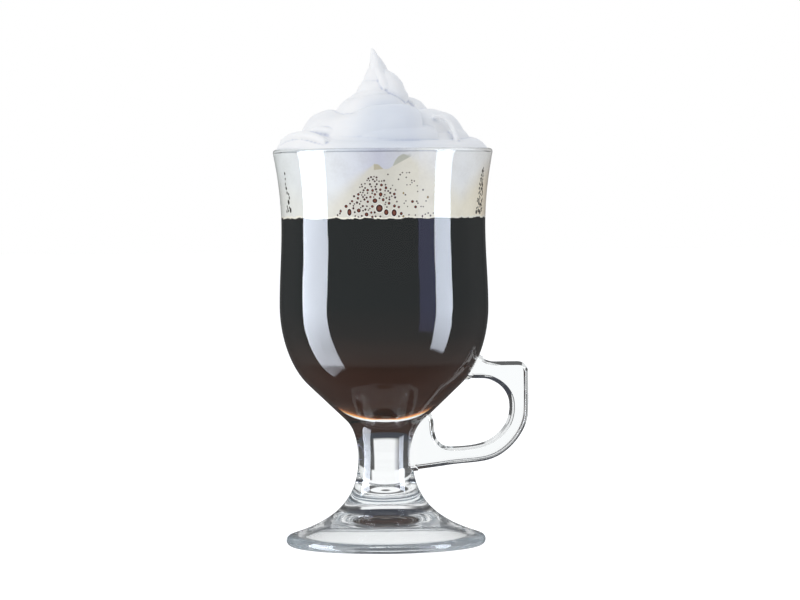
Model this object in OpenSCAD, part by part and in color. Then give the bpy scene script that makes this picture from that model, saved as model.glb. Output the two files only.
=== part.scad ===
// Irish coffee glass on a short stem with a strap handle, holding black coffee,
// milk froth and whipped cream. Millimetres, +Z up, the origin at the centre of the foot
// on the table, the handle towards +X.

/* [Bowl] */
// Height of the bowl above its joint with the stem
bowl_h = 103.6; // [98:0.2:110]
// Outer radius of the rim
rim_r = 39.5; // [38.4:0.1:41]
// How fast the rim flares outward, as radius over height
rim_slope = 0.19; // [0.1:0.01:0.3]
// Outer radius of the waist below the rim
waist_r = 36.7; // [36:0.1:38]
// Drop from the rim down to the waist
waist_drop = 27.6; // [23:0.2:32]
// Outer radius of the belly
belly_r = 37.6; // [36.8:0.1:39]
// Height of the belly above the stem joint
belly_rise = 47; // [42:0.2:52]
// Outer radius where the belly runs into the cone
cone_r = 27.6; // [26:0.1:29]
// Height of the cone's top above the stem joint
cone_rise = 19; // [17:0.2:21]
// Outer radius where the cone runs into the stem
neck_r = 14; // [13:0.1:15]
// Height of the cone's foot above the stem joint
neck_rise = 6; // [5:0.1:7]

/* [Bowl inside] */
// Radius of the rounded lip, which is half of the wall at the rim
lip_r = 1.2; // [0.9:0.05:1.4]
// Inside radius at the belly
bore_r = 34; // [33:0.1:34.6]
// How much wider the inside is at the waist than at the belly
bore_draft = 0.2; // [0.1:0.05:0.6]
// Glass between the stem joint and the bottom of the inside
base_glass = 10.1; // [8.6:0.1:11.4]
// Radius of the rounded well at the bottom of the inside
well_r = 13.8; // [12.4:0.1:15.2]
// Height of the well's edge above the stem joint
well_rise = 16.6; // [15.4:0.1:18]

/* [Stem] */
// Length of the stem between its two joints
stem_h = 18; // [15:0.2:22]
// Radius of the stem where it is thinnest
stem_r = 9.8; // [9:0.1:10.6]
// Height of the thinnest place above the foot joint
stem_waist_rise = 10; // [7:0.2:12]

/* [Foot] */
// Height of the foot up to its joint with the stem
foot_h = 21; // [18:0.2:24]
// Outer radius of the foot
foot_r = 35.9; // [33:0.1:39]
// Radius of the foot's rounded edge
foot_edge_r = 1.9; // [1.5:0.05:2.4]
// Inner radius of the flat ring that the foot stands on
ring_r = 30.5; // [27:0.1:31.2]
// Height of the hollow under the foot
hollow_h = 9.5; // [7:0.1:11]

/* [Handle] */
// Distance from the glass's axis to the handle's outer face
grip_reach = 52.1; // [49:0.1:57]
// Height of the upper arm's top above the bowl's joint
grip_rise = 26.7; // [25:0.1:29]
// Drop from the bowl's joint down to the lower arm's underside
grip_drop = 11.6; // [10.4:0.1:12.6]
// Thickness of the flat strap, front to back
strap_t = 9; // [7:0.1:11]
// How far the strap's sides slope out from its flat faces to its parting line
strap_draft = 1.4; // [0.8:0.1:1.8]
// Width of the blunted corner between a face and a side
strap_corner = 0.4; // [0.2:0.05:0.6]

/* [Drink] */
// Drop from the rim down to the coffee's surface
coffee_drop = 24.9; // [20:0.1:26]
// Depth of the milk froth on the coffee
froth_h = 13.3; // [11:0.1:14]
// Gap between the drink and the glass, so that the drink can be lifted out
fill_gap = 0.3; // [0.2:0.05:0.5]

/* [Cream] */
// Height of the bed of cream above the rim
bed_h = 4.4; // [3.5:0.1:5.5]
// Radius of the bed where it laps over the rim
bed_r = 38.4; // [37.6:0.1:38.8]
// Height of the folded middle tier
swirl_h = 10.2; // [8:0.1:12]
// Radius of the middle tier at its widest
swirl_r = 33; // [29:0.1:34]
// Height of the pulled peak
peak_h = 21.5; // [17:0.1:26]
// Radius of the peak at its foot
peak_r = 15.4; // [13:0.1:17]
// How far the tip leans away from the axis, against the handle
tip_lean = 3.6; // [0:0.1:6]
// Depth of the folds in the cream
fold_d = 1.6; // [0.5:0.1:2.4]
// Number of folds round the middle tier
fold_count = 7; // [5:1:11]

/* [Hidden] */
$fn = 96;

// Steps along each curve of an outline, and round each lip
curve_steps = 9;
lip_steps = 10;
// Steps round a tier of cream
cream_steps = 56;

// How far the control points of each curve stand from its two ends, as shares of its chord
foot_pull_shares = [0.35, 0.47];
neck_pull_shares = [0.41, 0.27];
belly_pull_shares = [0.28, 0.37];
waist_pull_shares = [0.35, 0.35];
rim_pull_shares = [0.35, 0.35];
hollow_pull_shares = [0.25, 0.45];
well_pull_shares = [0.35, 0.35];
shoulder_pull_shares = [0.45, 0.45];

// Directions along an outline, as [radius, height]
up = [0, 1];
outward = [1, 0];
rim_way = [rim_slope, 1] / norm([rim_slope, 1]);
// The angle at which the foot's rounded edge passes into its top
foot_edge_turn = 72;
foot_way = [-sin(foot_edge_turn), cos(foot_edge_turn)];
hollow_way = [-0.86, 0.51];
// The slopes at the well's edge, of the well's side and of the shoulder above it
well_turn = 46;
well_way = [cos(well_turn), sin(well_turn)];
shoulder_turn = 24;
shoulder_way = [cos(shoulder_turn), sin(shoulder_turn)];

bowl_z = foot_h + stem_h;
rim_z = bowl_z + bowl_h;
waist_z = rim_z - waist_drop;
belly_z = bowl_z + belly_rise;
cone_top = [cone_r, bowl_z + cone_rise];
neck = [neck_r, bowl_z + neck_rise];
cone_way = (cone_top - neck) / norm(cone_top - neck);
stem_waist = [stem_r, foot_h + stem_waist_rise];
foot_edge = [foot_r - foot_edge_r, foot_edge_r];
foot_top = foot_edge + foot_edge_r * [cos(foot_edge_turn), sin(foot_edge_turn)];
well_edge = [well_r, bowl_z + well_rise];

coffee_z = rim_z - coffee_drop;
froth_z = coffee_z + froth_h;
bed_z = rim_z + bed_h;
swirl_z = bed_z + swirl_h;
peak_z = swirl_z + peak_h;

// A point on a cubic curve through p[0] and p[3]
function curve_at(p, t) =
    pow(1 - t, 3) * p[0] + 3 * t * pow(1 - t, 2) * p[1] + 3 * t * t * (1 - t) * p[2] + t * t * t * p[3];

// The points of a curve without its last one
function curve(p, steps = curve_steps) = [for (i = [0 : steps - 1]) curve_at(p, i / steps)];

// A curve from a to b that leaves a along way_a and reaches b along way_b
function bend(a, way_a, b, way_b, shares, steps = curve_steps) =
    let (reach = norm(b - a))
    curve([a, a + way_a * reach * shares[0], b - way_b * reach * shares[1], b], steps);

function arc(middle, r, from, to, steps) =
    [for (i = [0 : steps]) let (a = from + (to - from) * i / steps) middle + r * [cos(a), sin(a)]];

// The outside of the glass, from the top of the foot's edge up to the rim
outside = concat(
    bend(foot_top, foot_way, stem_waist, up, foot_pull_shares, 2 * curve_steps),
    bend(stem_waist, up, neck, cone_way, neck_pull_shares),
    [neck],
    bend(cone_top, cone_way, [belly_r, belly_z], up, belly_pull_shares),
    bend([belly_r, belly_z], up, [waist_r, waist_z], up, waist_pull_shares),
    bend([waist_r, waist_z], up, [rim_r, rim_z - lip_r], rim_way, rim_pull_shares)
);

// The inside of the bowl, from the bottom of the well up to the rim
inside = concat(
    bend([0, bowl_z + base_glass], outward, well_edge, well_way, well_pull_shares),
    bend(well_edge, shoulder_way, [bore_r, belly_z], up, shoulder_pull_shares),
    [[bore_r, belly_z]],
    bend([bore_r + bore_draft, waist_z], up, [rim_r - 2 * lip_r, rim_z - lip_r], rim_way, rim_pull_shares),
    [[rim_r - 2 * lip_r, rim_z - lip_r]]
);

// The inside radius at a height
function bore_at(z) = lookup(z, [for (p = inside) [p[1], p[0]]]);

lip = arc([rim_r - lip_r, rim_z - lip_r], lip_r, 0, 180, lip_steps);

function turned(points) = [for (i = [len(points) - 1 : -1 : 0]) points[i]];

// What lies inside the outside of the glass, filled right through
module glass_outline() {
    polygon(concat([[0, foot_top[1]]], outside, lip, [[0, rim_z - lip_r]]));
}

// The part of an outline between two heights
module between(low, high) {
    intersection() {
        children();
        translate([0, low]) square([rim_r + foot_r, high - low]);
    }
}

module bowl() {
    color([0.86, 0.93, 0.95, 0.45]) rotate_extrude() difference() {
        between(bowl_z, rim_z) polygon(concat([[0, foot_top[1]]], outside, lip, turned(inside)));
    }
}

module stem() {
    color([0.8, 0.88, 0.92, 0.5]) rotate_extrude() between(foot_h, bowl_z) glass_outline();
}

module foot() {
    hollow = bend([ring_r, 0], hollow_way, [0, hollow_h], -outward, hollow_pull_shares);
    edge = arc(foot_edge, foot_edge_r, -90, foot_edge_turn, lip_steps);
    color([0.78, 0.87, 0.92, 0.5]) rotate_extrude() between(0, foot_h)
        polygon(concat(turned(hollow), edge, outside, [[0, rim_z]], [[0, hollow_h]]));
}

// Places in the handle's plane as shares of its size: the first from the stem's side out to the
// outer face, the second from the lower arm's underside up to the upper arm's top.
// Each row is one curve with its two control points, and both sides have as many rows.
outer_curve_shares = [
    [[0.22, 1.165], [0.555, 1.147], [0.584, 1], [0.703, 1]],
    [[0.703, 1], [0.76, 1], [0.84, 1], [0.903, 1]],
    [[0.903, 1], [0.963, 1], [1, 0.948], [1, 0.889]],
    [[1, 0.889], [1, 0.767], [1.003, 0.63], [0.997, 0.513]],
    [[0.997, 0.513], [0.989, 0.353], [0.863, 0.171], [0.724, 0.098]],
    [[0.724, 0.098], [0.602, 0.033], [0.473, 0.053], [0.283, 0.021]],
    [[0.283, 0.021], [0.18, 0.005], [0.06, -0.01], [-0.1, -0.1]],
    [[-0.1, -0.1], [-0.14, -0.07], [-0.18, -0.03], [-0.2, 0]]
];
inner_curve_shares = [
    [[0.14, 0.785], [0.356, 0.858], [0.472, 0.839], [0.581, 0.839]],
    [[0.581, 0.839], [0.641, 0.839], [0.66, 0.834], [0.705, 0.808]],
    [[0.705, 0.808], [0.76, 0.778], [0.801, 0.727], [0.821, 0.664]],
    [[0.821, 0.664], [0.843, 0.596], [0.835, 0.478], [0.792, 0.403]],
    [[0.792, 0.403], [0.746, 0.322], [0.679, 0.261], [0.591, 0.234]],
    [[0.591, 0.234], [0.503, 0.207], [0.405, 0.203], [0.327, 0.204]],
    [[0.327, 0.204], [0.228, 0.205], [0.185, 0.283], [0.186, 0.42]],
    [[0.186, 0.42], [0.187, 0.498], [0.099, 0.57], [0.02, 0.619]]
];
grip_low_z = bowl_z - grip_drop;
function grip_place(share) =
    [stem_r + share[0] * (grip_reach - stem_r), grip_low_z + share[1] * (grip_drop + grip_rise)];

function grip_side(rows) = [
    for (row = rows) each curve([for (share = row) grip_place(share)], 5),
    grip_place(rows[len(rows) - 1][3])
];

// A quarter of the strap's section from its parting line to its face, as [across, depth]
function strap_quarter(w) =
    let (half = w / 2, draft = min(strap_draft, w / 4), corner = min(strap_corner, w / 8))
    [
        [half, 0],
        [half - draft + corner / 3, strap_t / 2 - corner],
        [half - draft - corner, strap_t / 2]
    ];

// The strap's section between a place on its inner side and one on its outer side
function strap_section(low, high) =
    let (w = norm(high - low), way = (high - low) / w, middle = (low + high) / 2, q = strap_quarter(w))
    [for (p = [
        q[0], q[1], q[2], [-q[2][0], q[2][1]], [-q[1][0], q[1][1]],
        -q[0], -q[1], -q[2], [q[2][0], -q[2][1]], [q[1][0], -q[1][1]]
    ])
        let (at = middle + way * p[0]) [at[0], p[1], at[1]]];

// The faces of a tube whose rings hold n points each
function tube_faces(rings, n) = concat(
    [[for (k = [0 : n - 1]) k]],
    [[for (k = [n - 1 : -1 : 0]) (rings - 1) * n + k]],
    [for (i = [0 : rings - 2]) for (k = [0 : n - 1]) [i * n + k, (i + 1) * n + k, (i + 1) * n + (k + 1) % n]],
    [for (i = [0 : rings - 2]) for (k = [0 : n - 1]) [i * n + k, (i + 1) * n + (k + 1) % n, i * n + (k + 1) % n]]
);

module handle() {
    outer = grip_side(outer_curve_shares);
    inner = grip_side(inner_curve_shares);
    sections = [for (i = [0 : len(outer) - 1]) strap_section(inner[i], outer[i])];
    color([0.84, 0.92, 0.94, 0.5]) difference() {
        polyhedron([for (s = sections) each s], tube_faces(len(sections), len(sections[0])));
        rotate_extrude() glass_outline();
    }
}

// The drink's outline below a height, a gap inside the bowl's wall
module drink_outline() {
    side = [for (p = inside) [max(0, p[0] - fill_gap), p[1] + fill_gap]];
    polygon(concat(side, [[0, rim_z]]));
}

module coffee() {
    color([0.16, 0.09, 0.06]) rotate_extrude() between(bowl_z, coffee_z) drink_outline();
}

module milk_froth() {
    color([0.85, 0.81, 0.74]) rotate_extrude() between(coffee_z, froth_z) drink_outline();
}

// One tier of cream. Each ring is [radius, height, how much of the folds it has].
module tier(rings, folds, turn, lean) {
    low = rings[0][1];
    high = rings[len(rings) - 1][1];
    points = [for (ring = rings) for (k = [0 : cream_steps - 1])
        let (
            a = 360 * k / cream_steps,
            share = (ring[1] - low) / (high - low),
            wave = 0.5 - 0.5 * cos(folds * (a - turn * share)),
            r = ring[0] - fold_d * ring[2] * wave
        )
        [r * cos(a) - lean * share * share, r * sin(a), ring[1]]];
    polyhedron(points, tube_faces(len(rings), cream_steps));
}

// Places of the rings above the rim, as shares of the tier's radius and height, with their folds
bed_ring_shares = [[1, 0.2, 0.3], [0.995, 0.4, 0.6], [0.97, 0.62, 0.8], [0.92, 0.82, 0.7], [0.86, 1, 0.5]];
swirl_ring_shares = [
    [0.94, 0, 0.5], [0.99, 0.09, 0.8], [1, 0.19, 1], [0.97, 0.32, 1], [0.91, 0.45, 1.1], [0.85, 0.57, 1.2],
    [0.8, 0.7, 1.2], [0.75, 0.82, 1.1], [0.69, 0.92, 0.8], [0.6, 1, 0.4]
];
peak_ring_shares = [
    [0.96, 0, 0.2], [1, 0.04, 0.5], [0.97, 0.1, 0.8], [0.85, 0.17, 1], [0.73, 0.25, 1.1], [0.63, 0.33, 1.1],
    [0.53, 0.42, 1], [0.44, 0.51, 0.9], [0.345, 0.6, 0.7], [0.26, 0.69, 0.5], [0.185, 0.78, 0.3],
    [0.115, 0.87, 0.15], [0.055, 0.95, 0], [0.015, 1, 0]
];
// How far the folds turn from a tier's foot to its top, in degrees
bed_turn = 12;
swirl_turn = 34;
peak_turn = 150;
// Folds round the narrow peak
peak_folds = 3;

module cream_bed() {
    sunk = [for (i = [0 : 4]) let (z = froth_z + (rim_z - lip_r - froth_z) * i / 4)
        [bore_at(z) - fill_gap, z, 0]];
    brim_z = rim_z + fill_gap;
    brim = [[bore_at(rim_z) - fill_gap, brim_z, 0], [bed_r - fill_gap, brim_z + fill_gap, 0]];
    above = [for (g = bed_ring_shares) [bed_r * g[0], brim_z + fill_gap + (bed_z - brim_z - fill_gap) * g[1], g[2]]];
    color([0.97, 0.97, 0.98]) tier(concat(sunk, brim, above), fold_count, bed_turn, 0);
}

module cream_swirl() {
    color([0.96, 0.96, 0.98])
        tier([for (g = swirl_ring_shares) [swirl_r * g[0], bed_z + swirl_h * g[1], g[2]]], fold_count, swirl_turn, 0);
}

module cream_peak() {
    color([0.98, 0.98, 1])
        tier([for (g = peak_ring_shares) [peak_r * g[0], swirl_z + peak_h * g[1], g[2]]],
            peak_folds, peak_turn, tip_lean);
}

bowl();
stem();
foot();
handle();
coffee();
milk_froth();
cream_bed();
cream_swirl();
cream_peak();
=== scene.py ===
"""An Irish coffee glass with its drink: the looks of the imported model, laid out as an add-on."""

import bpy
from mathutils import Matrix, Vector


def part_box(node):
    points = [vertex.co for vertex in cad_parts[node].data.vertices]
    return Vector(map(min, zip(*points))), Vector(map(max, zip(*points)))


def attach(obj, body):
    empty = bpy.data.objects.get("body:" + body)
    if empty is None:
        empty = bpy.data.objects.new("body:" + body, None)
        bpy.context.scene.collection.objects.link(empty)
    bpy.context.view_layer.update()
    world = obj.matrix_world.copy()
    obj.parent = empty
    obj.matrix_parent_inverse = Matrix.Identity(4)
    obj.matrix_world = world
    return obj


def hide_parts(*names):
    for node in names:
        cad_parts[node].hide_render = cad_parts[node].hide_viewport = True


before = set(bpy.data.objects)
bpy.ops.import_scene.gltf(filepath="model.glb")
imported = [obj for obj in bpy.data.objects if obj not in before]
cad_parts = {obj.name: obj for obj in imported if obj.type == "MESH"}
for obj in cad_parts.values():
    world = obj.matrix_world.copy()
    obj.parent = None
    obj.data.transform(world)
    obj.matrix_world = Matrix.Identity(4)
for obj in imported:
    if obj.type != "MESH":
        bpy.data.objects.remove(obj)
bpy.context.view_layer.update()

import math
import random

import bpy
from bpy.props import FloatProperty, FloatVectorProperty, IntProperty, PointerProperty
from mathutils import Vector

bl_info = {
    "name": "Irish coffee glass",
    "version": (1, 0, 0),
    "blender": (4, 5, 0),
    "location": "3D View > Sidebar > Irish coffee",
    "description": "Models a footed coffee glass with a strap handle, its drink and its cream",
    "category": "Add Mesh",
}

MM = 0.001
UP = Vector((0, 1))
OUTWARD = Vector((1, 0))
# Corners closer than this are one, in metres
TOUCHING = 1e-6


def length(name, description, millimetres):
    """A size that the sidebar shows as a length."""
    default = millimetres * MM
    return FloatProperty(name=name, description=description, default=default, unit="LENGTH", precision=5)


def share(name, description, value):
    return FloatProperty(name=name, description=description, default=value, subtype="FACTOR")


def colour(name, description, value):
    return FloatVectorProperty(name=name, description=description, default=value, size=3, subtype="COLOR")


def angle(name, description, degrees):
    return FloatProperty(name=name, description=description, default=math.radians(degrees), subtype="ANGLE")


def number(name, description, value):
    return FloatProperty(name=name, description=description, default=value)


class GlassSizes(bpy.types.PropertyGroup):
    """Sizes of the bowl, stem and foot. The rim, the joints and the foot's reach come from the frame."""

    rim_slope: share("Rim slope", "How fast the rim flares outward, as radius over height", 0.19)
    waist_radius: length("Waist radius", "Outer radius of the waist below the rim", 36.7)
    waist_drop: length("Waist drop", "Drop from the rim down to the waist", 27.6)
    belly_radius: length("Belly radius", "Outer radius of the belly", 37.6)
    belly_rise: length("Belly rise", "Height of the belly above the stem joint", 47)
    cone_radius: length("Cone radius", "Outer radius where the belly runs into the cone", 27.6)
    cone_rise: length("Cone rise", "Height of the cone's top above the stem joint", 19)
    neck_radius: length("Neck radius", "Outer radius where the cone runs into the stem", 14)
    neck_rise: length("Neck rise", "Height of the cone's foot above the stem joint", 6)
    lip_radius: length("Lip radius", "Radius of the rounded lip", 1.2)
    bore_radius: length("Bore radius", "Inside radius at the belly", 34)
    bore_draft: length("Bore draft", "How much wider the inside is at the waist", 0.2)
    base_glass: length("Base glass", "Glass between the stem joint and the bottom of the inside", 10.1)
    well_radius: length("Well radius", "Radius of the rounded well at the bottom of the inside", 13.8)
    well_rise: length("Well rise", "Height of the well's edge above the stem joint", 16.6)
    stem_radius: length("Stem radius", "Radius of the stem where it is thinnest", 9.8)
    stem_waist_rise: length("Stem waist rise", "Height of the thinnest place above the foot joint", 10)
    foot_edge_radius: length("Foot edge radius", "Radius of the foot's rounded edge", 1.9)
    ring_radius: length("Ring radius", "Inner radius of the flat ring under the foot", 30.5)
    hollow_height: length("Hollow height", "Height of the hollow under the foot", 9.5)
    seam_depth: length("Seam depth", "How far the handle's fused ends sink into the glass", 0.04)
    turns: IntProperty(name="Steps round", description="Steps round each turned surface", default=256)
    glass_colour: colour("Glass colour", "Tint of the clear glass", (0.955, 0.978, 0.985))


class HandleSizes(bpy.types.PropertyGroup):
    """Sizes of the strap handle. Its reach and thickness come from the frame."""

    drop: length("Drop", "Drop from the bowl's joint down to the lower arm's underside", 11.6)
    rise: length("Rise", "Height of the upper arm's top above the bowl's joint", 26.7)
    draft: length("Draft", "How far the sides slope out from the flat faces to the parting line", 1.4)
    edge_width: length("Edge width", "Width of the rounded edges", 0.4)
    collar_width: length("Collar width", "How far the rim at its joints reaches along the strap", 1.8)
    collar_height: length("Collar height", "How far that rim stands out from the strap", 0.5)


class DrinkSizes(bpy.types.PropertyGroup):
    """How the coffee and the froth fill the bowl."""

    wetting: length("Wetting", "How far the drink's surface reaches into the glass that it wets", 0.06)
    coffee_colour: colour("Coffee colour", "Colour of the deep coffee", (0.0045, 0.0075, 0.008))


class StudioSizes(bpy.types.PropertyGroup):
    """The camera, the lamps and the floor."""

    distance: length("Camera distance", "From the glass's axis to the camera", 1280)
    height: length("Camera height", "Height of the camera above the table", 128)
    aim_height: length("Aim height", "Height of the picture's middle at the glass", 88.2)
    side_aim: length("Side aim", "How far the picture's middle lies towards the handle", 6.1)
    turn: angle("Turn", "How far the camera stands round to the left", 5)
    roll: angle("Roll", "Turn of the camera about its view", 0.5)
    lens: number("Lens", "Focal length in millimetres", 160)
    sky: number("Sky", "Strength of the soft light all round", 0.9)
    floor_glow: number("Floor glow", "Light that whitens the floor for the camera", 0.45)


def pick(*pieces):
    """Leaves only these pieces selected, the last of them active."""
    if bpy.context.mode != "OBJECT":
        bpy.ops.object.mode_set(mode="OBJECT")
    bpy.ops.object.select_all(action="DESELECT")
    for piece in pieces:
        piece.select_set(True)
    bpy.context.view_layer.objects.active = pieces[-1]


def copy_of(piece, name):
    """A copy with its own mesh."""
    pick(piece)
    bpy.ops.object.duplicate(linked=False)
    made = bpy.context.object
    made.name = made.data.name = name
    return made


def remove(*pieces):
    pick(*pieces)
    bpy.ops.object.delete()


def apply_modifier(piece, kind, **settings):
    """Puts a modifier on a piece and applies it."""
    modifier = piece.modifiers.new(kind.title(), kind)
    for key, value in settings.items():
        setattr(modifier, key, value)
    pick(piece)
    bpy.ops.object.modifier_apply(modifier=modifier.name)


class Outline:
    """An outline in the XZ plane, kept as Bezier knots of (place, handle before, handle after)."""

    def __init__(self, start):
        self.knots = [[Vector(start)] * 3]

    def curve(self, after, before, place):
        self.knots[-1][2] = Vector(after)
        self.knots.append([Vector(place), Vector(before), Vector(place)])
        return self

    def line(self, place):
        start, place = self.knots[-1][0], Vector(place)
        return self.curve(start.lerp(place, 1 / 3), start.lerp(place, 2 / 3), place)

    def bend(self, way_from, place, way_to, shares):
        """Leaves along way_from and arrives along way_to."""
        start, place = self.knots[-1][0], Vector(place)
        reach = (place - start).length
        return self.curve(start + way_from * reach * shares[0], place - way_to * reach * shares[1], place)

    def arc(self, middle, turn):
        """Turns about middle by an angle, in quarters or less."""
        quarters = max(1, math.ceil(abs(turn) / (math.pi / 2) - TOUCHING))
        step = turn / quarters
        pull = 4 / 3 * math.tan(abs(step) / 4)
        for _ in range(quarters):
            start = self.knots[-1][0]
            arm = start - middle
            sideways = Vector((-arm.y, arm.x)) * (1 if step > 0 else -1)
            cosine, sine = math.cos(step), math.sin(step)
            turned = Vector((arm.x * cosine - arm.y * sine, arm.x * sine + arm.y * cosine))
            sideways_after = Vector((-turned.y, turned.x)) * (1 if step > 0 else -1)
            self.curve(start + sideways * pull, middle + turned - sideways_after * pull, middle + turned)
        return self

    def draw(self, name, closed=False, steps=16):
        """A mesh of edges along the outline."""
        bpy.ops.object.select_all(action="DESELECT")
        bpy.ops.curve.primitive_bezier_curve_add()
        piece = bpy.context.object
        piece.name = name
        piece.data.resolution_u = steps
        spline = piece.data.splines[0]
        spline.bezier_points.add(len(self.knots) - 2)
        for point, (place, before, after) in zip(spline.bezier_points, self.knots):
            point.handle_left_type = point.handle_right_type = "FREE"
            point.co = (place.x, 0, place.y)
            point.handle_left = (before.x, 0, before.y)
            point.handle_right = (after.x, 0, after.y)
        spline.use_cyclic_u = closed
        pick(piece)
        bpy.ops.object.convert(target="MESH")
        piece = bpy.context.object
        piece.data.name = name
        return piece


def edit(piece):
    """Opens a piece for editing, with all of it selected."""
    pick(piece)
    bpy.ops.object.mode_set(mode="EDIT")
    bpy.ops.mesh.select_all(action="SELECT")


def tidy_mesh(piece):
    """Merges doubled corners and turns the faces outward."""
    edit(piece)
    bpy.ops.mesh.remove_doubles(threshold=TOUCHING / 2)
    bpy.ops.mesh.normals_make_consistent(inside=False)
    bpy.ops.object.mode_set(mode="OBJECT")


def turn_round(piece, turns):
    """Turns an outline round the glass's axis into a closed surface."""
    joined = {"use_merge_vertices": True, "merge_threshold": TOUCHING}
    apply_modifier(piece, "SCREW", axis="Z", angle=2 * math.pi, steps=turns, render_steps=turns, **joined)
    tidy_mesh(piece)
    bpy.ops.object.shade_smooth()
    return piece


def smooth_by_angle(piece, degrees):
    pick(piece)
    bpy.ops.object.shade_smooth_by_angle(angle=math.radians(degrees))


def cut_away(piece, tool):
    """Takes the tool's space out of a piece, and lets the cut faces keep the tool's material."""
    settings = {"operation": "DIFFERENCE", "solver": "EXACT", "material_mode": "TRANSFER"}
    apply_modifier(piece, "BOOLEAN", object=tool, **settings)


def finish_piece(piece, body, slot, *nodes):
    """Puts a piece on its body and hides the nodes that it stands for."""
    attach(piece, body)
    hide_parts(*nodes)


class Joints:
    """Heights and radii that the frame gives."""

    def __init__(self, sizes):
        bowl_low, bowl_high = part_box("bowl")
        foot_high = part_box("foot")[1]
        self.foot_z, self.bowl_z, self.rim_z = foot_high.z, bowl_low.z, bowl_high.z
        self.rim_radius, self.foot_radius = bowl_high.x, foot_high.x
        self.waist_z = self.rim_z - sizes.waist_drop
        self.belly_z = self.bowl_z + sizes.belly_rise
        self.cone_top = Vector((sizes.cone_radius, self.bowl_z + sizes.cone_rise))
        self.neck = Vector((sizes.neck_radius, self.bowl_z + sizes.neck_rise))
        self.cone_way = (self.cone_top - self.neck).normalized()
        self.stem_waist = Vector((sizes.stem_radius, self.foot_z + sizes.stem_waist_rise))
        self.rim_way = Vector((sizes.rim_slope, 1)).normalized()
        self.well_edge = Vector((sizes.well_radius, self.bowl_z + sizes.well_rise))
        self.lip_middle = Vector((self.rim_radius - sizes.lip_radius, self.rim_z - sizes.lip_radius))


# How far the handles of each curve stand from its two ends, as shares of the line between them
FOOT_SHARES = (0.35, 0.47)
NECK_SHARES = (0.41, 0.27)
BELLY_SHARES = (0.28, 0.37)
WAIST_SHARES = (0.35, 0.35)
HOLLOW_SHARES = (0.25, 0.45)
WELL_SHARES = (0.35, 0.35)
SHOULDER_SHARES = (0.45, 0.45)
# Where the foot's rounded edge passes into its top
FOOT_EDGE_TURN = math.radians(72)
HOLLOW_WAY = Vector((-0.86, 0.51)).normalized()
# The slopes at the well's edge, of the well's side and of the shoulder above it
WELL_TURN = math.radians(46)
SHOULDER_TURN = math.radians(24)


def outside_up(outline, sizes, at):
    """Draws the outside of the glass from the top of the foot's edge up to the rim."""
    foot_way = Vector((-math.sin(FOOT_EDGE_TURN), math.cos(FOOT_EDGE_TURN)))
    outline.bend(foot_way, at.stem_waist, UP, FOOT_SHARES)
    outline.bend(UP, at.neck, at.cone_way, NECK_SHARES)
    outline.line(at.cone_top)
    outline.bend(at.cone_way, (sizes.belly_radius, at.belly_z), UP, BELLY_SHARES)
    outline.bend(UP, (sizes.waist_radius, at.waist_z), UP, WAIST_SHARES)
    outline.bend(UP, (at.rim_radius, at.lip_middle.y), at.rim_way, WAIST_SHARES)
    return outline


def inside_up(outline, sizes, at):
    """Draws the inside of the bowl from the middle of its bottom up to the rim."""
    well_way = Vector((math.cos(WELL_TURN), math.sin(WELL_TURN)))
    shoulder_way = Vector((math.cos(SHOULDER_TURN), math.sin(SHOULDER_TURN)))
    outline.bend(OUTWARD, at.well_edge, well_way, WELL_SHARES)
    outline.bend(shoulder_way, (sizes.bore_radius, at.belly_z), UP, SHOULDER_SHARES)
    outline.line((sizes.bore_radius + sizes.bore_draft, at.waist_z))
    outline.bend(UP, (at.rim_radius - 2 * sizes.lip_radius, at.lip_middle.y), at.rim_way, WAIST_SHARES)
    return outline


def reversed_outline(outline):
    """The same outline drawn from its end to its start."""
    made = Outline(outline.knots[-1][0])
    made.knots = [[place, after, before] for place, before, after in reversed(outline.knots)]
    return made


def solid_outline(sizes, at):
    """The outside of the whole glass, from its axis on the table up to its axis at the rim."""
    edge = Vector((at.foot_radius - sizes.foot_edge_radius, sizes.foot_edge_radius))
    hollow = Outline((sizes.ring_radius, 0))
    hollow.bend(HOLLOW_WAY, (0, sizes.hollow_height), -OUTWARD, HOLLOW_SHARES)
    outline = reversed_outline(hollow)
    outline.line((edge.x, 0))
    outline.arc(edge, math.pi / 2 + FOOT_EDGE_TURN)
    return outside_up(outline, sizes, at)


def wired(tree, kind, inputs=(), **settings):
    """A shader node with its settings, and its inputs set or linked by name or place."""
    made = tree.nodes.new(kind)
    for key, value in settings.items():
        setattr(made, key, value)
    for key, value in dict(inputs).items():
        socket = made.inputs[key]
        if isinstance(value, bpy.types.NodeSocket):
            tree.links.new(value, socket)
        else:
            socket.default_value = value
    return made


def ramp(tree, factor, stops):
    """A colour ramp with stops of (place, colour)."""
    made = wired(tree, "ShaderNodeValToRGB", {"Fac": factor})
    elements = made.color_ramp.elements
    while len(elements) < len(stops):
        elements.new(0.5)
    for element, (place, value) in zip(elements, stops):
        element.position = place
        element.color = (*value, 1)
    return made.outputs["Color"]


def maths(tree, operation, *values):
    return wired(tree, "ShaderNodeMath", dict(enumerate(values)), operation=operation).outputs[0]


def step_up(tree, value, low, high):
    """Nought below low, one above high, smooth between them."""
    ends = {"Value": value, "From Min": low, "From Max": high}
    return wired(tree, "ShaderNodeMapRange", ends, interpolation_type="SMOOTHSTEP").outputs[0]


def window(tree, value, low, high, blur):
    """One between low and high, with soft edges."""
    rising = step_up(tree, value, low - blur, low + blur)
    passed = step_up(tree, value, high - blur, high + blur)
    return maths(tree, "SUBTRACT", rising, passed)


def share_of_way(tree, value, low, high):
    """Nought at low and one at high, straight between them."""
    return wired(tree, "ShaderNodeMapRange", {"Value": value, "From Min": low, "From Max": high}).outputs[0]


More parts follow.
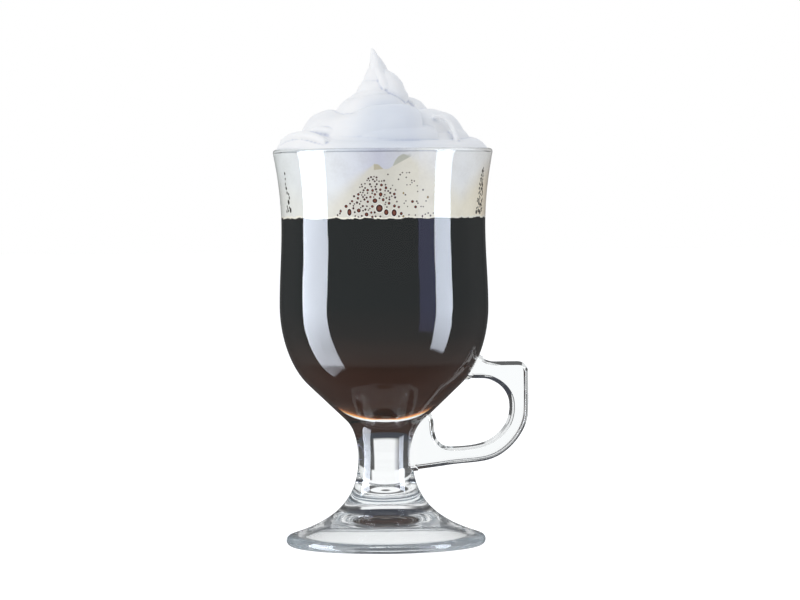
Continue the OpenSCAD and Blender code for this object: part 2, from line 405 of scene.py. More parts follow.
def graded(tree, value, low, high, stops, top=1):
    """A colour, or a number below top, by stops of (place, colour or number) between low and high."""
    values = [kept if isinstance(kept, tuple) else (kept / top,) * 3 for _, kept in stops]
    shares = [(place - low) / (high - low) for place, _ in stops]
    made = ramp(tree, share_of_way(tree, value, low, high), list(zip(shares, values)))
    return made if top == 1 else maths(tree, "MULTIPLY", made, top)


def by_bearing(tree, bearing, stops, top=1):
    """A colour, or a number below top, that changes round the glass."""
    return graded(tree, bearing, -180, 180, stops, top)


def bearing_of(tree, parts, turn):
    """Degrees round the glass's axis, from the camera's side round by the right."""
    flipped = maths(tree, "MULTIPLY", parts.outputs["Y"], -1)
    bearing = maths(tree, "DEGREES", maths(tree, "ARCTAN2", parts.outputs["X"], flipped))
    return maths(tree, "ADD", bearing, math.degrees(turn))


def blended(tree, amount, first, second, way="MIX"):
    """The second colour over the first, by an amount from nought to one."""
    colours = {0: amount, 6: first, 7: second}
    return wired(tree, "ShaderNodeMix", colours, data_type="RGBA", blend_type=way).outputs[2]


def noise_at(tree, place, scale, detail, roughness=0.5):
    """Noise at a place, from nought to one."""
    settings = {"Vector": place, "Scale": scale, "Detail": detail, "Roughness": roughness}
    return wired(tree, "ShaderNodeTexNoise", settings).outputs["Fac"]


def length_of(tree, vector):
    return wired(tree, "ShaderNodeVectorMath", {0: vector}, operation="LENGTH").outputs["Value"]


def matt(tree, tint, roughness):
    """A surface without gloss, as it lies behind glass that wets it."""
    settings = {"Base Color": tint, "Roughness": roughness, "Specular IOR Level": 0.0}
    return wired(tree, "ShaderNodeBsdfPrincipled", settings).outputs[0]


def mixed(tree, amount, first, second):
    """The second shader over the first, by an amount from nought to one."""
    return wired(tree, "ShaderNodeMixShader", {0: amount, 1: first, 2: second}).outputs[0]


def blank_material(name):
    """A new material, its tree with only an output, and that output."""
    material = bpy.data.materials.new(name)
    material.use_nodes = True
    tree = material.node_tree
    tree.nodes.clear()
    return material, tree, tree.nodes.new("ShaderNodeOutputMaterial")


def object_place(tree):
    return tree.nodes.new("ShaderNodeTexCoord").outputs["Object"]


# The faint waves of the mould: how many to a metre, how strong and how deep
MOULD_WAVES = 70
WAVE_STRENGTH = 0.25
WAVE_DEPTH = 0.0006
# The thick edge of the foot shows the glass's own bluish tint and painted light, a lit pale layer over the
# dark rim:
# from and to these radii, below the first of these heights and fully below the second, and how much
EDGE_FROM, EDGE_TO = 0.0325, 0.035
EDGE_TOP, EDGE_FULL = 0.006, 0.004
EDGE_TINT_AND_LIGHT_COLOUR = (0.5, 0.63, 0.72, 1)
EDGE_TINT_AND_LIGHT_SHARE = 0.15
# Painted light from the lit table brightens the foot from inside, between such radii and heights
FOOT_FROM, FOOT_TO = 0.015, 0.019
FOOT_TOP, FOOT_FULL = 0.015, 0.011
FOOT_PAINTED_LIGHT_COLOUR = (0.93, 0.96, 0.98, 1)
FOOT_PAINTED_LIGHT_SHARE = 0.05
# Over the white froth the glass mirrors a little less than elsewhere
GLEAM_OVER_FROTH = (0.7, 0.75, 0.8, 1)
FROTH_LINE_BLUR = 0.3 * MM
# The bowl's cone mirrors only faintly between these heights
CONE_LOW, CONE_HIGH = 0.049, 0.066
CONE_BLUR = MM
GLEAM_ON_CONE = (0.15, 0.15, 0.15, 1)
WHITE = (1, 1, 1, 1)


def clear_glass(settings, froth_low, lip_low):
    """Pressed glass with the faint waves of its mould, which lets lamps through, and a lit pale layer of
    painted light at its foot.
    """
    material, tree, output = blank_material("clear_glass")
    place = object_place(tree)
    waves = noise_at(tree, place, MOULD_WAVES, 1.5, 0.4)
    dents = {"Height": waves, "Strength": WAVE_STRENGTH, "Distance": WAVE_DEPTH}
    bump = wired(tree, "ShaderNodeBump", dents)
    parts = wired(tree, "ShaderNodeSeparateXYZ", {0: place})
    height = parts.outputs["Z"]
    flat = wired(tree, "ShaderNodeCombineXYZ", {0: parts.outputs["X"], 1: parts.outputs["Y"]})
    reach = length_of(tree, flat.outputs[0])
    edge = step_up(tree, reach, EDGE_FROM, EDGE_TO)
    edge = maths(tree, "MULTIPLY", edge, step_up(tree, height, EDGE_TOP, EDGE_FULL))
    foot = step_up(tree, reach, FOOT_FROM, FOOT_TO)
    foot = maths(tree, "MULTIPLY", foot, step_up(tree, height, FOOT_TOP, FOOT_FULL))
    # How much of the lit pale layer shows: painted light at the foot and at its edge
    body = maths(tree, "MULTIPLY", edge, EDGE_TINT_AND_LIGHT_SHARE)
    body = maths(tree, "MAXIMUM", body, maths(tree, "MULTIPLY", foot, FOOT_PAINTED_LIGHT_SHARE))
    over_froth = window(tree, height, froth_low, lip_low, FROTH_LINE_BLUR)
    gleam = blended(tree, over_froth, WHITE, GLEAM_OVER_FROTH)
    on_cone = window(tree, height, CONE_LOW, CONE_HIGH, CONE_BLUR)
    gleam = blended(tree, on_cone, gleam, GLEAM_ON_CONE)
    clear = wired(
        tree,
        "ShaderNodeBsdfPrincipled",
        {
            "Base Color": (*settings.glass_colour, 1),
            "Roughness": 0,
            "IOR": 1.5,
            "Transmission Weight": 1,
            "Specular Tint": gleam,
            "Normal": bump.outputs["Normal"],
        },
    )
    # The lit pale layer paints light into the foot, over the edge's own bluish tint
    tint_and_painted_light_layer = wired(tree, "ShaderNodeBsdfDiffuse", {"Color": blended(tree, edge, FOOT_PAINTED_LIGHT_COLOUR, EDGE_TINT_AND_LIGHT_COLOUR)})
    glass = mixed(tree, body, clear.outputs[0], tint_and_painted_light_layer.outputs[0])
    through = wired(tree, "ShaderNodeBsdfTransparent", {"Color": WHITE})
    path = tree.nodes.new("ShaderNodeLightPath")
    lamp = maths(tree, "MAXIMUM", path.outputs["Is Shadow Ray"], path.outputs["Is Diffuse Ray"])
    tree.links.new(mixed(tree, lamp, glass, through.outputs[0]), output.inputs["Surface"])
    return material


def fused_seam():
    """The face where two parts of the glass are fused: nothing shows there."""
    material, tree, output = blank_material("fused_seam")
    clear = wired(tree, "ShaderNodeBsdfTransparent", {"Color": WHITE})
    tree.links.new(clear.outputs[0], output.inputs["Surface"])
    return material


# Where the coffee meets the glass at a slant it mirrors: (its index over the glass's, tint, roughness,
# how high above its bottom as a share of its depth). The first lie deeper, where light that skims
# through the thin coffee at the bottom turns red and then amber.
COFFEE_SKINS = (
    (0.868, (0.5, 0.09, 0.02), 0.1, 0.06),
    (0.89, (1.0, 0.5, 0.12), 0.04, 0.06),
    (0.918, (1.0, 1.0, 1.0), 0.0, 0.09),
)
SKIN_BLUR = 0.03
# The coffee's colour by its height as a share of its depth, and where its own deep colour begins
COFFEE_DEPTHS = (
    (0.04, (0.012, 0.011, 0.011)), (0.08, (0.055, 0.028, 0.02)), (0.22, (0.05, 0.026, 0.019)),
    (0.32, (0.03, 0.019, 0.015)), (0.42, (0.012, 0.0105, 0.0095)),
)
DEEP_COFFEE = 0.58
# How many clouds to a metre stir these heights, and by how much
COFFEE_CLOUDS, CLOUD_RISE = 45, 0.04


def black_coffee(settings, low, high):
    """Coffee that is near black in its depth, brown lower down and amber where it runs thin."""
    material, tree, output = blank_material("black_coffee")
    place = object_place(tree)
    parts = wired(tree, "ShaderNodeSeparateXYZ", {0: place})
    rise = share_of_way(tree, parts.outputs["Z"], low, high)
    shifted = maths(tree, "MULTIPLY_ADD", noise_at(tree, place, COFFEE_CLOUDS, 2), CLOUD_RISE, rise)
    tint = ramp(tree, shifted, [*COFFEE_DEPTHS, (DEEP_COFFEE, tuple(settings.coffee_colour))])
    shown = matt(tree, tint, 0.35)
    for index, skin_tint, roughness, highest in COFFEE_SKINS:
        skin = wired(tree, "ShaderNodeBsdfAnisotropic", {"Color": (*skin_tint, 1), "Roughness": roughness})
        amount = wired(tree, "ShaderNodeFresnel", {"IOR": index}).outputs[0]
        low_down = step_up(tree, rise, highest + SKIN_BLUR, highest - SKIN_BLUR)
        shown = mixed(tree, maths(tree, "MULTIPLY", amount, low_down), shown, skin.outputs[0])
    tree.links.new(shown, output.inputs["Surface"])
    return material


# How low the white cream reaches down the wall: (bearing, height above the coffee in millimetres)
CREAM_REACH = (
    (-180, 18), (-150, 14), (-125, 20), (-95, 17), (-80, 13), (-66, 11), (-46, 7), (-34, 6), (-25, 9),
    (-16, 14), (-9, 17), (-6, 18.6), (-4.6, 19.6), (-2, 19.2), (0.5, 17.6), (4, 17.8), (5.8, 18.7),
    (7.2, 21), (9, 22.4), (11.5, 23), (15.5, 21.9), (24, 19), (33, 14), (41, 10), (50, 8), (57, 11),
    (72, 17), (100, 19), (130, 13), (155, 19), (180, 18),
)
CREAM_REACH_TOP = 30
# How softly the cream runs into the froth: (bearing, half the width of the change in millimetres)
CREAM_BLUR = (
    (-180, 2), (-90, 6), (-40, 6), (-20, 4), (-9, 1.5), (-5, 0.3), (13, 0.3), (17, 2.5), (24, 6),
    (90, 6), (180, 2),
)
CREAM_BLUR_TOP = 6
# Painted shadows, olive, on the froth under the cream's edge: (bearing from, to, height of its lower edge at
# both, in millimetres, colour)
CREAM_EDGE_SHADOWS = (
    (-4.6, 0.4, 17.3, 17.6, (0.53, 0.48, 0.36, 1)), (5.8, 15.8, 18.6, 22.1, (0.53, 0.53, 0.46, 1)),
    (150, 157, 12.5, 14, (0.53, 0.48, 0.36, 1)), (-133, -126, 14, 17.5, (0.53, 0.53, 0.46, 1)),
)
# Colours against the glass by bearing: the froth, and the cream that sinks into it. Both are their own tones
# with painted shade on their front, and the froth has painted light towards its right
FROTH_TONE_AND_LIGHT_ROUND = (
    (-180, (0.84, 0.8, 0.72)), (-80, (0.87, 0.87, 0.83)), (-50, (0.84, 0.835, 0.79)),
    (-25, (0.82, 0.79, 0.71)), (-8, (0.72, 0.69, 0.62)), (2, (0.71, 0.68, 0.6)), (15, (0.84, 0.8, 0.7)),
    (30, (0.96, 0.92, 0.8)), (60, (0.98, 0.91, 0.75)), (80, (0.93, 0.81, 0.64)),
    (180, (0.84, 0.8, 0.72)),
)
SUNK_CREAM_TONE_AND_SHADE_ROUND = (
    (-180, (0.86, 0.87, 0.9)), (-80, (0.9, 0.925, 0.91)), (-45, (0.84, 0.86, 0.87)),
    (-30, (0.885, 0.905, 0.93)), (-13, (0.76, 0.775, 0.84)), (-2, (0.63, 0.635, 0.73)),
    (8, (0.7, 0.705, 0.76)), (24, (0.96, 0.95, 0.92)), (50, (0.98, 0.98, 0.98)),
    (80, (0.96, 0.93, 0.88)), (180, (0.86, 0.87, 0.9)),
)
# How many waves, ripples and pores to a metre, and how far the first two move the cream's edge and the
# foam line, in millimetres
FROTH_WAVES, FROTH_RIPPLES, FROTH_PORES = 110, 420, 1100
WAVE_REACH, RIPPLE_REACH, LINE_REACH = 1.6, 0.8, 2.4
# How softly the painted shadows under the cream's edge begin, up the wall in millimetres and round it in
# degrees
SHADOW_BLUR, SHADOW_END_BLUR = 0.15, 0.3
# The pale line just over the coffee and the dark one on it: fully gone and fully there at these heights
PALE_LINE, PALE_COLOUR = (1.05, 0.7), (0.96, 0.92, 0.8, 1)
DARK_LINE, DARK_COLOUR = (0.28, 0.16), (0.02, 0.014, 0.012, 1)


def milk_froth(low, turn):
    """Froth with fine pores, and the white cream that sinks into it, as they lie against the glass, with
    painted shade and light.
    """
    material, tree, output = blank_material("milk_froth")
    place = object_place(tree)
    parts = wired(tree, "ShaderNodeSeparateXYZ", {0: place})
    bearing = bearing_of(tree, parts, turn)
    height = maths(tree, "DIVIDE", maths(tree, "SUBTRACT", parts.outputs["Z"], low), MM)
    waves = noise_at(tree, place, FROTH_WAVES, 3, 0.6)
    ripple = maths(tree, "SUBTRACT", noise_at(tree, place, FROTH_RIPPLES, 2), 0.5)
    grain = noise_at(tree, place, FROTH_PORES, 3)

    reach = by_bearing(tree, bearing, CREAM_REACH, CREAM_REACH_TOP)
    reach = maths(tree, "MULTIPLY_ADD", maths(tree, "SUBTRACT", waves, 0.5), WAVE_REACH, reach)
    reach = maths(tree, "MULTIPLY_ADD", ripple, RIPPLE_REACH, reach)
    over = maths(tree, "SUBTRACT", height, reach)
    over = maths(tree, "DIVIDE", over, by_bearing(tree, bearing, CREAM_BLUR, CREAM_BLUR_TOP))
    # The froth's tones by bearing, with painted shade in front and painted light to the right
    tint = by_bearing(tree, bearing, FROTH_TONE_AND_LIGHT_ROUND)
    # Painted shadows under the cream's edge, olive on the froth
    for bearing_from, bearing_to, low_from, low_to, shadow_colour in CREAM_EDGE_SHADOWS:
        slope = (low_to - low_from) / (bearing_to - bearing_from)
        line = maths(tree, "MULTIPLY_ADD", bearing, slope, low_from - bearing_from * slope)
        above = step_up(tree, maths(tree, "SUBTRACT", height, line), -SHADOW_BLUR, SHADOW_BLUR)
        shadowed_span = window(tree, bearing, bearing_from, bearing_to, SHADOW_END_BLUR)
        tint = blended(tree, maths(tree, "MULTIPLY", shadowed_span, above), tint, shadow_colour)
    # The sunk cream's tones by bearing, with painted shade, lavender, in front
    tint = blended(tree, step_up(tree, over, -1, 1), tint, by_bearing(tree, bearing, SUNK_CREAM_TONE_AND_SHADE_ROUND))
    tone = maths(tree, "MULTIPLY_ADD", waves, 0.7, maths(tree, "MULTIPLY", grain, 0.3))
    shade = ramp(tree, tone, [(0.35, (0.93, 0.925, 0.92)), (0.55, (1.0, 1.0, 1.0))])
    tint = blended(tree, 1.0, tint, shade, "MULTIPLY")

    skin = maths(tree, "MULTIPLY_ADD", ripple, LINE_REACH, height)
    tint = blended(tree, step_up(tree, skin, *PALE_LINE), tint, PALE_COLOUR)
    tint = blended(tree, step_up(tree, skin, *DARK_LINE), tint, DARK_COLOUR)
    tree.links.new(matt(tree, tint, 0.6), output.inputs["Surface"])
    return material


# Wall sizes of a bubble: sides, the share of it that is dark, and how deep it goes in millimetres
BUBBLE_SIDES = 14
BUBBLE_DARK_SHARE = 0.77
BUBBLE_DEPTH = 0.3
# Places across a bubble, from its middle (0) to its reach (1): the middle's colour, its shaded end, the
# dark edge's start, and the pale ring of froth beyond that edge
BUBBLE_MIDDLE, BUBBLE_SHADED, BUBBLE_EDGE, BUBBLE_RING = 0.1, 0.42, 0.6, 0.82
SHADED_BY, RING_SHADED_BY = 0.7, 0.94


def bubble_in_froth(name, middle, edge=(0.035, 0.012, 0.01), halo=(0.93, 0.89, 0.82)):
    """A bubble against the glass: its middle's colour, its edge's and that of the froth round it."""
    material, tree, output = blank_material(name)
    spread = tree.nodes.new("ShaderNodeUVMap").outputs[0]
    spot = wired(tree, "ShaderNodeMapping", {"Vector": spread, "Location": (-0.5, -0.5, 0)})
    reach = maths(tree, "MULTIPLY", length_of(tree, spot.outputs[0]), 2)
    stops = (
        (BUBBLE_MIDDLE, middle),
        (BUBBLE_SHADED, tuple(SHADED_BY * part for part in middle)),
        (BUBBLE_EDGE, edge),
        (BUBBLE_DARK_SHARE, edge),
        (BUBBLE_RING, halo),
        (1.0, tuple(RING_SHADED_BY * part for part in halo)),
    )
    tree.links.new(matt(tree, ramp(tree, reach, stops), 0.5), output.inputs["Surface"])
    return material


# The cream's shade by bearing, where the glow from the sides doesn't reach its front
CREAM_ROUND = (
    (-180, (1, 1, 1)), (-38, (1, 1, 1)), (-18, (0.89, 0.915, 0.955)), (-2, (0.82, 0.86, 0.92)),
    (18, (0.83, 0.865, 0.93)), (30, (0.92, 0.94, 0.97)), (50, (1, 1, 1)), (180, (1, 1, 1)),
)
# The cream's grain: how many to a metre, and how strong and deep
CREAM_GRAIN = 420
GRAIN_STRENGTH, GRAIN_DEPTH = 0.12, 0.0004
# Its soft clouds of tone: how many to a metre, and the colours
CREAM_CLOUDS = 60
CREAM_TONES = ((0.35, (0.86, 0.865, 0.88)), (0.65, (0.9, 0.9, 0.9)))
# Painted shade in its creases: how far they reach, from and to how open they are, and the shade's colour
CREASE_SHADE_REACH = 0.0022
CREASE_SHADE_FROM, CREASE_SHADE_TO = 0.35, 0.95
CREASE_SHADE_COLOUR = (0.74, 0.76, 0.8, 1)
# Painted shade along its sharp hollows: from and to this pointiness, and the shade's colour
HOLLOW_SHADE_FROM, HOLLOW_SHADE_TO = 0.493, 0.46
HOLLOW_SHADE_COLOUR = (0.68, 0.7, 0.77, 1)
# The peak stands free of that shade: none above the first height, all of it below the second
SHADE_TOP, SHADE_FULL = 0.166, 0.156


def whipped_cream(turn):
    """Soft matt cream with a little light below its skin, and painted shade in its creases, its hollows and
    its front.
    """
    material, tree, output = blank_material("whipped_cream")
    place = object_place(tree)
    grain = noise_at(tree, place, CREAM_GRAIN, 4, 0.6)
    grained = {"Height": grain, "Strength": GRAIN_STRENGTH, "Distance": GRAIN_DEPTH}
    bump = wired(tree, "ShaderNodeBump", grained).outputs["Normal"]
    tint = ramp(tree, noise_at(tree, place, CREAM_CLOUDS, 2), CREAM_TONES)
    # Painted shade darkens the creases
    crease_shade = {"Distance": CREASE_SHADE_REACH, "Normal": bump}
    crease_shade = wired(tree, "ShaderNodeAmbientOcclusion", crease_shade, samples=6).outputs["AO"]
    tint = blended(tree, step_up(tree, crease_shade, CREASE_SHADE_FROM, CREASE_SHADE_TO), CREASE_SHADE_COLOUR, tint)
    # Painted shade darkens the sharp hollows
    fold = tree.nodes.new("ShaderNodeNewGeometry").outputs["Pointiness"]
    tint = blended(tree, step_up(tree, fold, HOLLOW_SHADE_FROM, HOLLOW_SHADE_TO), tint, HOLLOW_SHADE_COLOUR)
    parts = wired(tree, "ShaderNodeSeparateXYZ", {0: place})
    shade = by_bearing(tree, bearing_of(tree, parts, turn), CREAM_ROUND)
    shade = blended(tree, step_up(tree, parts.outputs["Z"], SHADE_TOP, SHADE_FULL), WHITE, shade)
    cream = wired(
        tree,
        "ShaderNodeBsdfPrincipled",
        {
            "Base Color": blended(tree, 1.0, tint, shade, "MULTIPLY"),
            "Roughness": 0.42,
            "Specular IOR Level": 0.35,
            "Subsurface Weight": 0.35,
            "Subsurface Radius": (1.0, 0.95, 0.9),
            "Subsurface Scale": 0.0025,
            "Normal": bump,
        },
    )
    tree.links.new(cream.outputs[0], output.inputs["Surface"])
    return material


def glass_slots(piece, glass, seam):
    """The clear glass, and the seam for faces that are fused to another part."""
    piece.data.materials.clear()
    piece.data.materials.append(glass)
    piece.data.materials.append(seam)


def cut_level(height, keep_above):
    """In edit mode, cuts what is selected level, keeps one side and closes it."""
    lost = {"clear_inner": keep_above, "clear_outer": not keep_above}
    bpy.ops.mesh.bisect(plane_co=(0, 0, height), plane_no=(0, 0, 1), use_fill=True, **lost)


def part_above(piece, height):
    part_at(piece, height, True)


def part_below(piece, height):
    part_at(piece, height, False)


def part_at(piece, height, keep_above):
    """Cuts a glass solid level, keeps one side and closes it with a fused face."""
    edit(piece)
    cut_level(height, keep_above)
    piece.active_material_index = 1
    bpy.ops.object.material_slot_assign()
    bpy.ops.object.mode_set(mode="OBJECT")


# The handle's places as shares of its size: the first from the stem's side out to the outer
# face, the second from the lower arm's underside up to the upper arm's top.
# Each row is a curve's two control points and its end.
OUTER_START = (0.22, 1.165)
OUTER_CURVES = (
    ((0.555, 1.147), (0.584, 1), (0.703, 1)),
    ((0.76, 1), (0.84, 1), (0.903, 1)),
    ((0.963, 1), (1, 0.948), (1, 0.889)),
    ((1, 0.767), (1.003, 0.63), (0.997, 0.513)),
    ((0.989, 0.353), (0.863, 0.171), (0.724, 0.098)),
    ((0.602, 0.033), (0.473, 0.053), (0.283, 0.021)),
    ((0.18, 0.005), (0.06, -0.01), (-0.1, -0.03)),
)
INNER_END = (0.14, 0.785)
# From the stem's end back up to the bowl's end
INNER_CURVES = (
    ((-0.326, -0.058), (-0.217, 0.766), (0.02, 0.619)),
    ((0.099, 0.57), (0.187, 0.498), (0.186, 0.42)),
    ((0.185, 0.283), (0.228, 0.205), (0.327, 0.204)),
    ((0.405, 0.203), (0.503, 0.207), (0.591, 0.234)),
    ((0.679, 0.261), (0.746, 0.322), (0.792, 0.403)),
    ((0.835, 0.478), (0.843, 0.596), (0.821, 0.664)),
    ((0.801, 0.727), (0.76, 0.778), (0.705, 0.808)),
    ((0.66, 0.834), (0.641, 0.839), (0.581, 0.839)),
    ((0.472, 0.839), (0.356, 0.858), INNER_END),
    ((-0.08, 0.71), (-0.1, 1.182), OUTER_START),
)
# Steps along each curve of the strap, steps across its rounded edges, and the bend in degrees from which
# an edge is rounded
HANDLE_STEPS, HANDLE_EDGE_STEPS = 14, 4
HANDLE_EDGE_ANGLE = 25
# Faces that meet at more degrees than this show a crease
CREASE_ANGLE, HANDLE_CREASE_ANGLE = 35, 30


class IC_OT_glass(bpy.types.Operator):
    """Models the bowl, stem, foot and handle of the glass"""

    bl_idname = "irish_coffee.glass"
    bl_label = "Glass"

    def execute(self, context):
        sizes, grip = context.scene.coffee_glass, context.scene.coffee_handle
        at = Joints(sizes)
        glass = clear_glass(sizes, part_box("milk_froth")[0].z, at.lip_middle.y)
        seam = fused_seam()
        outline = solid_outline(sizes, at)
        outline.arc(at.lip_middle, math.pi)
        inside = inside_up(Outline((0, at.bowl_z + sizes.base_glass)), sizes, at)
        down = reversed_outline(inside)
        outline.knots[-1][2] = down.knots[0][2]
        outline.knots += down.knots[1:]
        whole = turn_round(outline.draw("whole_glass"), sizes.turns)
        glass_slots(whole, glass, seam)
        bowl, stem, foot = [copy_of(whole, name) for name in ("glass_bowl", "glass_stem", "glass_foot")]
        remove(whole)
        part_above(bowl, at.bowl_z)
        part_above(stem, at.foot_z)
        part_below(stem, at.bowl_z)
        part_below(foot, at.foot_z)
        handle = self.model_handle(sizes, grip, at, glass, seam)
        cut_away(bowl, handle)
        cut_away(stem, handle)
        for piece in (bowl, stem, foot):
            smooth_by_angle(piece, CREASE_ANGLE)
        for piece, node in ((bowl, "bowl"), (stem, "stem"), (foot, "foot"), (handle, "handle")):
            finish_piece(piece, "glass", "clear_glass", node)
        return {"FINISHED"}

    def model_handle(self, sizes, grip, at, glass, seam):
        """The flat strap with sloping sides, cut where it is fused to the bowl and the stem."""
        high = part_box("handle")[1]
        stem, reach, half = sizes.stem_radius, high.x, high.y
        bottom, height = at.bowl_z - grip.drop, grip.drop + grip.rise

        def spot(place):
            return Vector((stem + place[0] * (reach - stem), bottom + place[1] * height))

        outline = Outline(spot(OUTER_START))
        for after, before, place in OUTER_CURVES + INNER_CURVES:
            outline.curve(spot(after), spot(before), spot(place))
        outline.knots[0][1] = outline.knots[-1][1]
        outline.knots.pop()
        handle = outline.draw("glass_handle", closed=True, steps=HANDLE_STEPS)
        edit(handle)
        bpy.ops.mesh.remove_doubles(threshold=TOUCHING)
        bpy.ops.mesh.edge_face_add()
        bpy.ops.mesh.inset(thickness=grip.draft, depth=half)
        bpy.ops.object.mode_set(mode="OBJECT")
        apply_modifier(handle, "MIRROR", use_axis=(False, True, False), merge_threshold=TOUCHING)
        tidy_mesh(handle)
        edges = {"limit_method": "ANGLE", "angle_limit": math.radians(HANDLE_EDGE_ANGLE), "profile": 0.5}
        apply_modifier(handle, "BEVEL", width=grip.edge_width, segments=HANDLE_EDGE_STEPS, **edges)
        glass_slots(handle, glass, seam)
        outline = solid_outline(sizes, at)
        outline.line((0, at.lip_middle.y))
        core = outline.draw("fusing_core")
        for corner in core.data.vertices:
            corner.co.x = max(0, corner.co.x - sizes.seam_depth)
        turn_round(core, sizes.turns)
        core.data.materials.append(seam)
        self.add_collar(handle, core, grip)
        cut_away(handle, core)
        remove(core)
        smooth_by_angle(handle, HANDLE_CREASE_ANGLE)
        apply_modifier(handle, "WEIGHTED_NORMAL", keep_sharp=True, weight=60)
        return handle

    def add_collar(self, handle, core, grip):
        """Adds the low rim round the handle where it was pressed onto the bowl and the stem."""
        wide = copy_of(core, "collar_reach")
        for corner in wide.data.vertices:
            across = math.hypot(corner.co.x, corner.co.y)
            if across > TOUCHING:
                grown = (across + grip.collar_width) / across
                corner.co.x *= grown
                corner.co.y *= grown
        collar = copy_of(handle, "collar")
        apply_modifier(collar, "DISPLACE", strength=grip.collar_height, mid_level=0)
        apply_modifier(collar, "BOOLEAN", operation="INTERSECT", object=wide, solver="EXACT")
        apply_modifier(handle, "BOOLEAN", operation="UNION", object=collar, solver="EXACT")
        remove(wide, collar)


class IC_OT_coffee(bpy.types.Operator):
    """Fills the bowl with coffee"""

    bl_idname = "irish_coffee.coffee"
    bl_label = "Coffee"

    def execute(self, context):
        sizes, drink = context.scene.coffee_glass, context.scene.coffee_drink
        at = Joints(sizes)
        low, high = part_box("coffee")
        coffee = wetted_fill("black_coffee", sizes, drink, at, low.z, high.z)
        coffee.data.materials.append(black_coffee(drink, low.z, high.z))
        finish_piece(coffee, "drink", "coffee", "coffee")
        return {"FINISHED"}


def wetted_fill(name, sizes, drink, at, low, high):
    """A turned solid that fills the bowl between two heights and wets its wall."""
    inside = inside_up(Outline((0, at.bowl_z + sizes.base_glass)), sizes, at)
    inside.line((0, at.lip_middle.y))
    piece = inside.draw(name)
    for corner in piece.data.vertices:
        if corner.co.x > TOUCHING:
            corner.co.x += drink.wetting
        corner.co.z -= drink.wetting
    turn_round(piece, sizes.turns)
    edit(piece)
    for height, keep_above in ((high, False), (low, True)):
        bpy.ops.mesh.select_all(action="SELECT")
        cut_level(height, keep_above)
    bpy.ops.object.mode_set(mode="OBJECT")
    smooth_by_angle(piece, CREASE_ANGLE)
    return piece


# The larger bubbles against the glass in front: bearing in degrees, then height above the coffee,
# width and height in millimetres
FRONT_BUBBLES = (
    (-1.9, 3.8, 2.29, 2.62), (6.5, 2.2, 1.7, 2.36), (-19.4, 2.5, 1.51, 2.36), (2.0, 2.4, 1.51, 2.03),
    (-4.4, 6.5, 1.64, 1.64), (-13.8, 3.1, 1.37, 1.44), (-1.1, 8.7, 1.24, 1.51), (-9.3, 1.7, 1.31, 1.37),
    (-21.3, 4.6, 1.18, 1.11), (0.3, 6.8, 0.95, 1.18), (10.6, 1.9, 0.98, 1.11), (-0.6, 12.0, 0.98, 1.05),
    (1.9, 11.0, 0.92, 1.11), (-5.9, 4.5, 0.98, 0.98), (17.1, 6.1, 0.98, 0.98), (6.6, 8.8, 0.95, 1.01),
    (-24.8, 2.9, 0.85, 1.11), (19.0, 4.2, 0.92, 0.98), (-14.1, 7.4, 0.85, 0.98),
    (-14.7, 5.9, 0.79, 0.92), (-3.7, 10.5, 0.79, 0.85), (4.3, 9.2, 0.75, 0.82), (-7.0, 12.3, 0.72, 0.85),
    (26.4, 7.6, 0.72, 0.85), (-3.2, 12.3, 0.72, 0.79), (-25.3, 2.1, 0.72, 0.72),
    (-9.8, 11.0, 0.65, 0.72), (-12.1, 1.2, 0.65, 0.72), (11.8, 9.1, 0.65, 0.72), (0.9, 13.5, 0.65, 0.72),
    (23.2, 0.9, 0.52, 0.85), (-26.8, 1.5, 0.59, 0.72), (-4.1, 1.0, 0.65, 0.65), (-8.5, 9.2, 0.56, 0.62),
    (-12.6, 9.5, 0.56, 0.59), (9.8, 15.6, 0.56, 0.59), (-9.8, 12.5, 0.56, 0.56), (3.0, 15.7, 0.52, 0.59),
    (13.2, 14.6, 0.49, 0.56), (20.4, 5.5, 0.52, 0.52),
)
# Fans of smaller bubbles: bearing of the middle, half width in degrees, lowest and highest place,
# smallest and largest size in millimetres, how many times taller than wide, how many
BUBBLE_FANS = (
    (-5, 18, 0.8, 15, 0.5, 1.05, 1.15, 96),
    (14, 20, 1, 17, 0.4, 0.6, 1.1, 30),
    (-69, 3.5, 2, 17, 0.6, 1.3, 1.5, 14),
    (72, 5, 2, 18, 0.5, 1.2, 1.3, 44),
    (112, 16, 0.6, 14, 0.5, 1.6, 1.2, 34),
    (168, 26, 0.6, 16, 0.5, 2.1, 1.2, 60),
    (236, 20, 0.6, 12, 0.5, 1.5, 1.2, 38),
)
# Bubbles below this width in millimetres are nearly black inside
DARK_BUBBLE = 0.8
# Between these bearings at both sides all are dark specks
SPECKS_FROM, SPECKS_TO = 60, 80
# Past this bearing the bubbles between these two widths are olive
OLIVE_FROM, OLIVE_LEAST, OLIVE_MOST = 10, 0.6, 0.8
# How bubbles gather in a fan: tries for each one, how much denser they lie low down, how the fan closes
# upward, how rare the large ones are, and how much smaller they get at the top
BUBBLE_SEED = 11
BUBBLE_TRIES = 6
LOW_CROWD, FAN_CLOSING, LARGE_RARE, SMALLER_UP = 1.3, 0.6, 1.6, 0.3
# The wall's radius in millimetres, the space between bubbles as a share of their two widths, and how
# far they stand into the wall as a share of the drink's wetting
BUBBLE_RADIUS, BUBBLE_SPACE, BUBBLE_PROUD = 34, 0.62, 1.7
# How often the search for a height on the wall halves its step
BORE_HALVINGS = 30


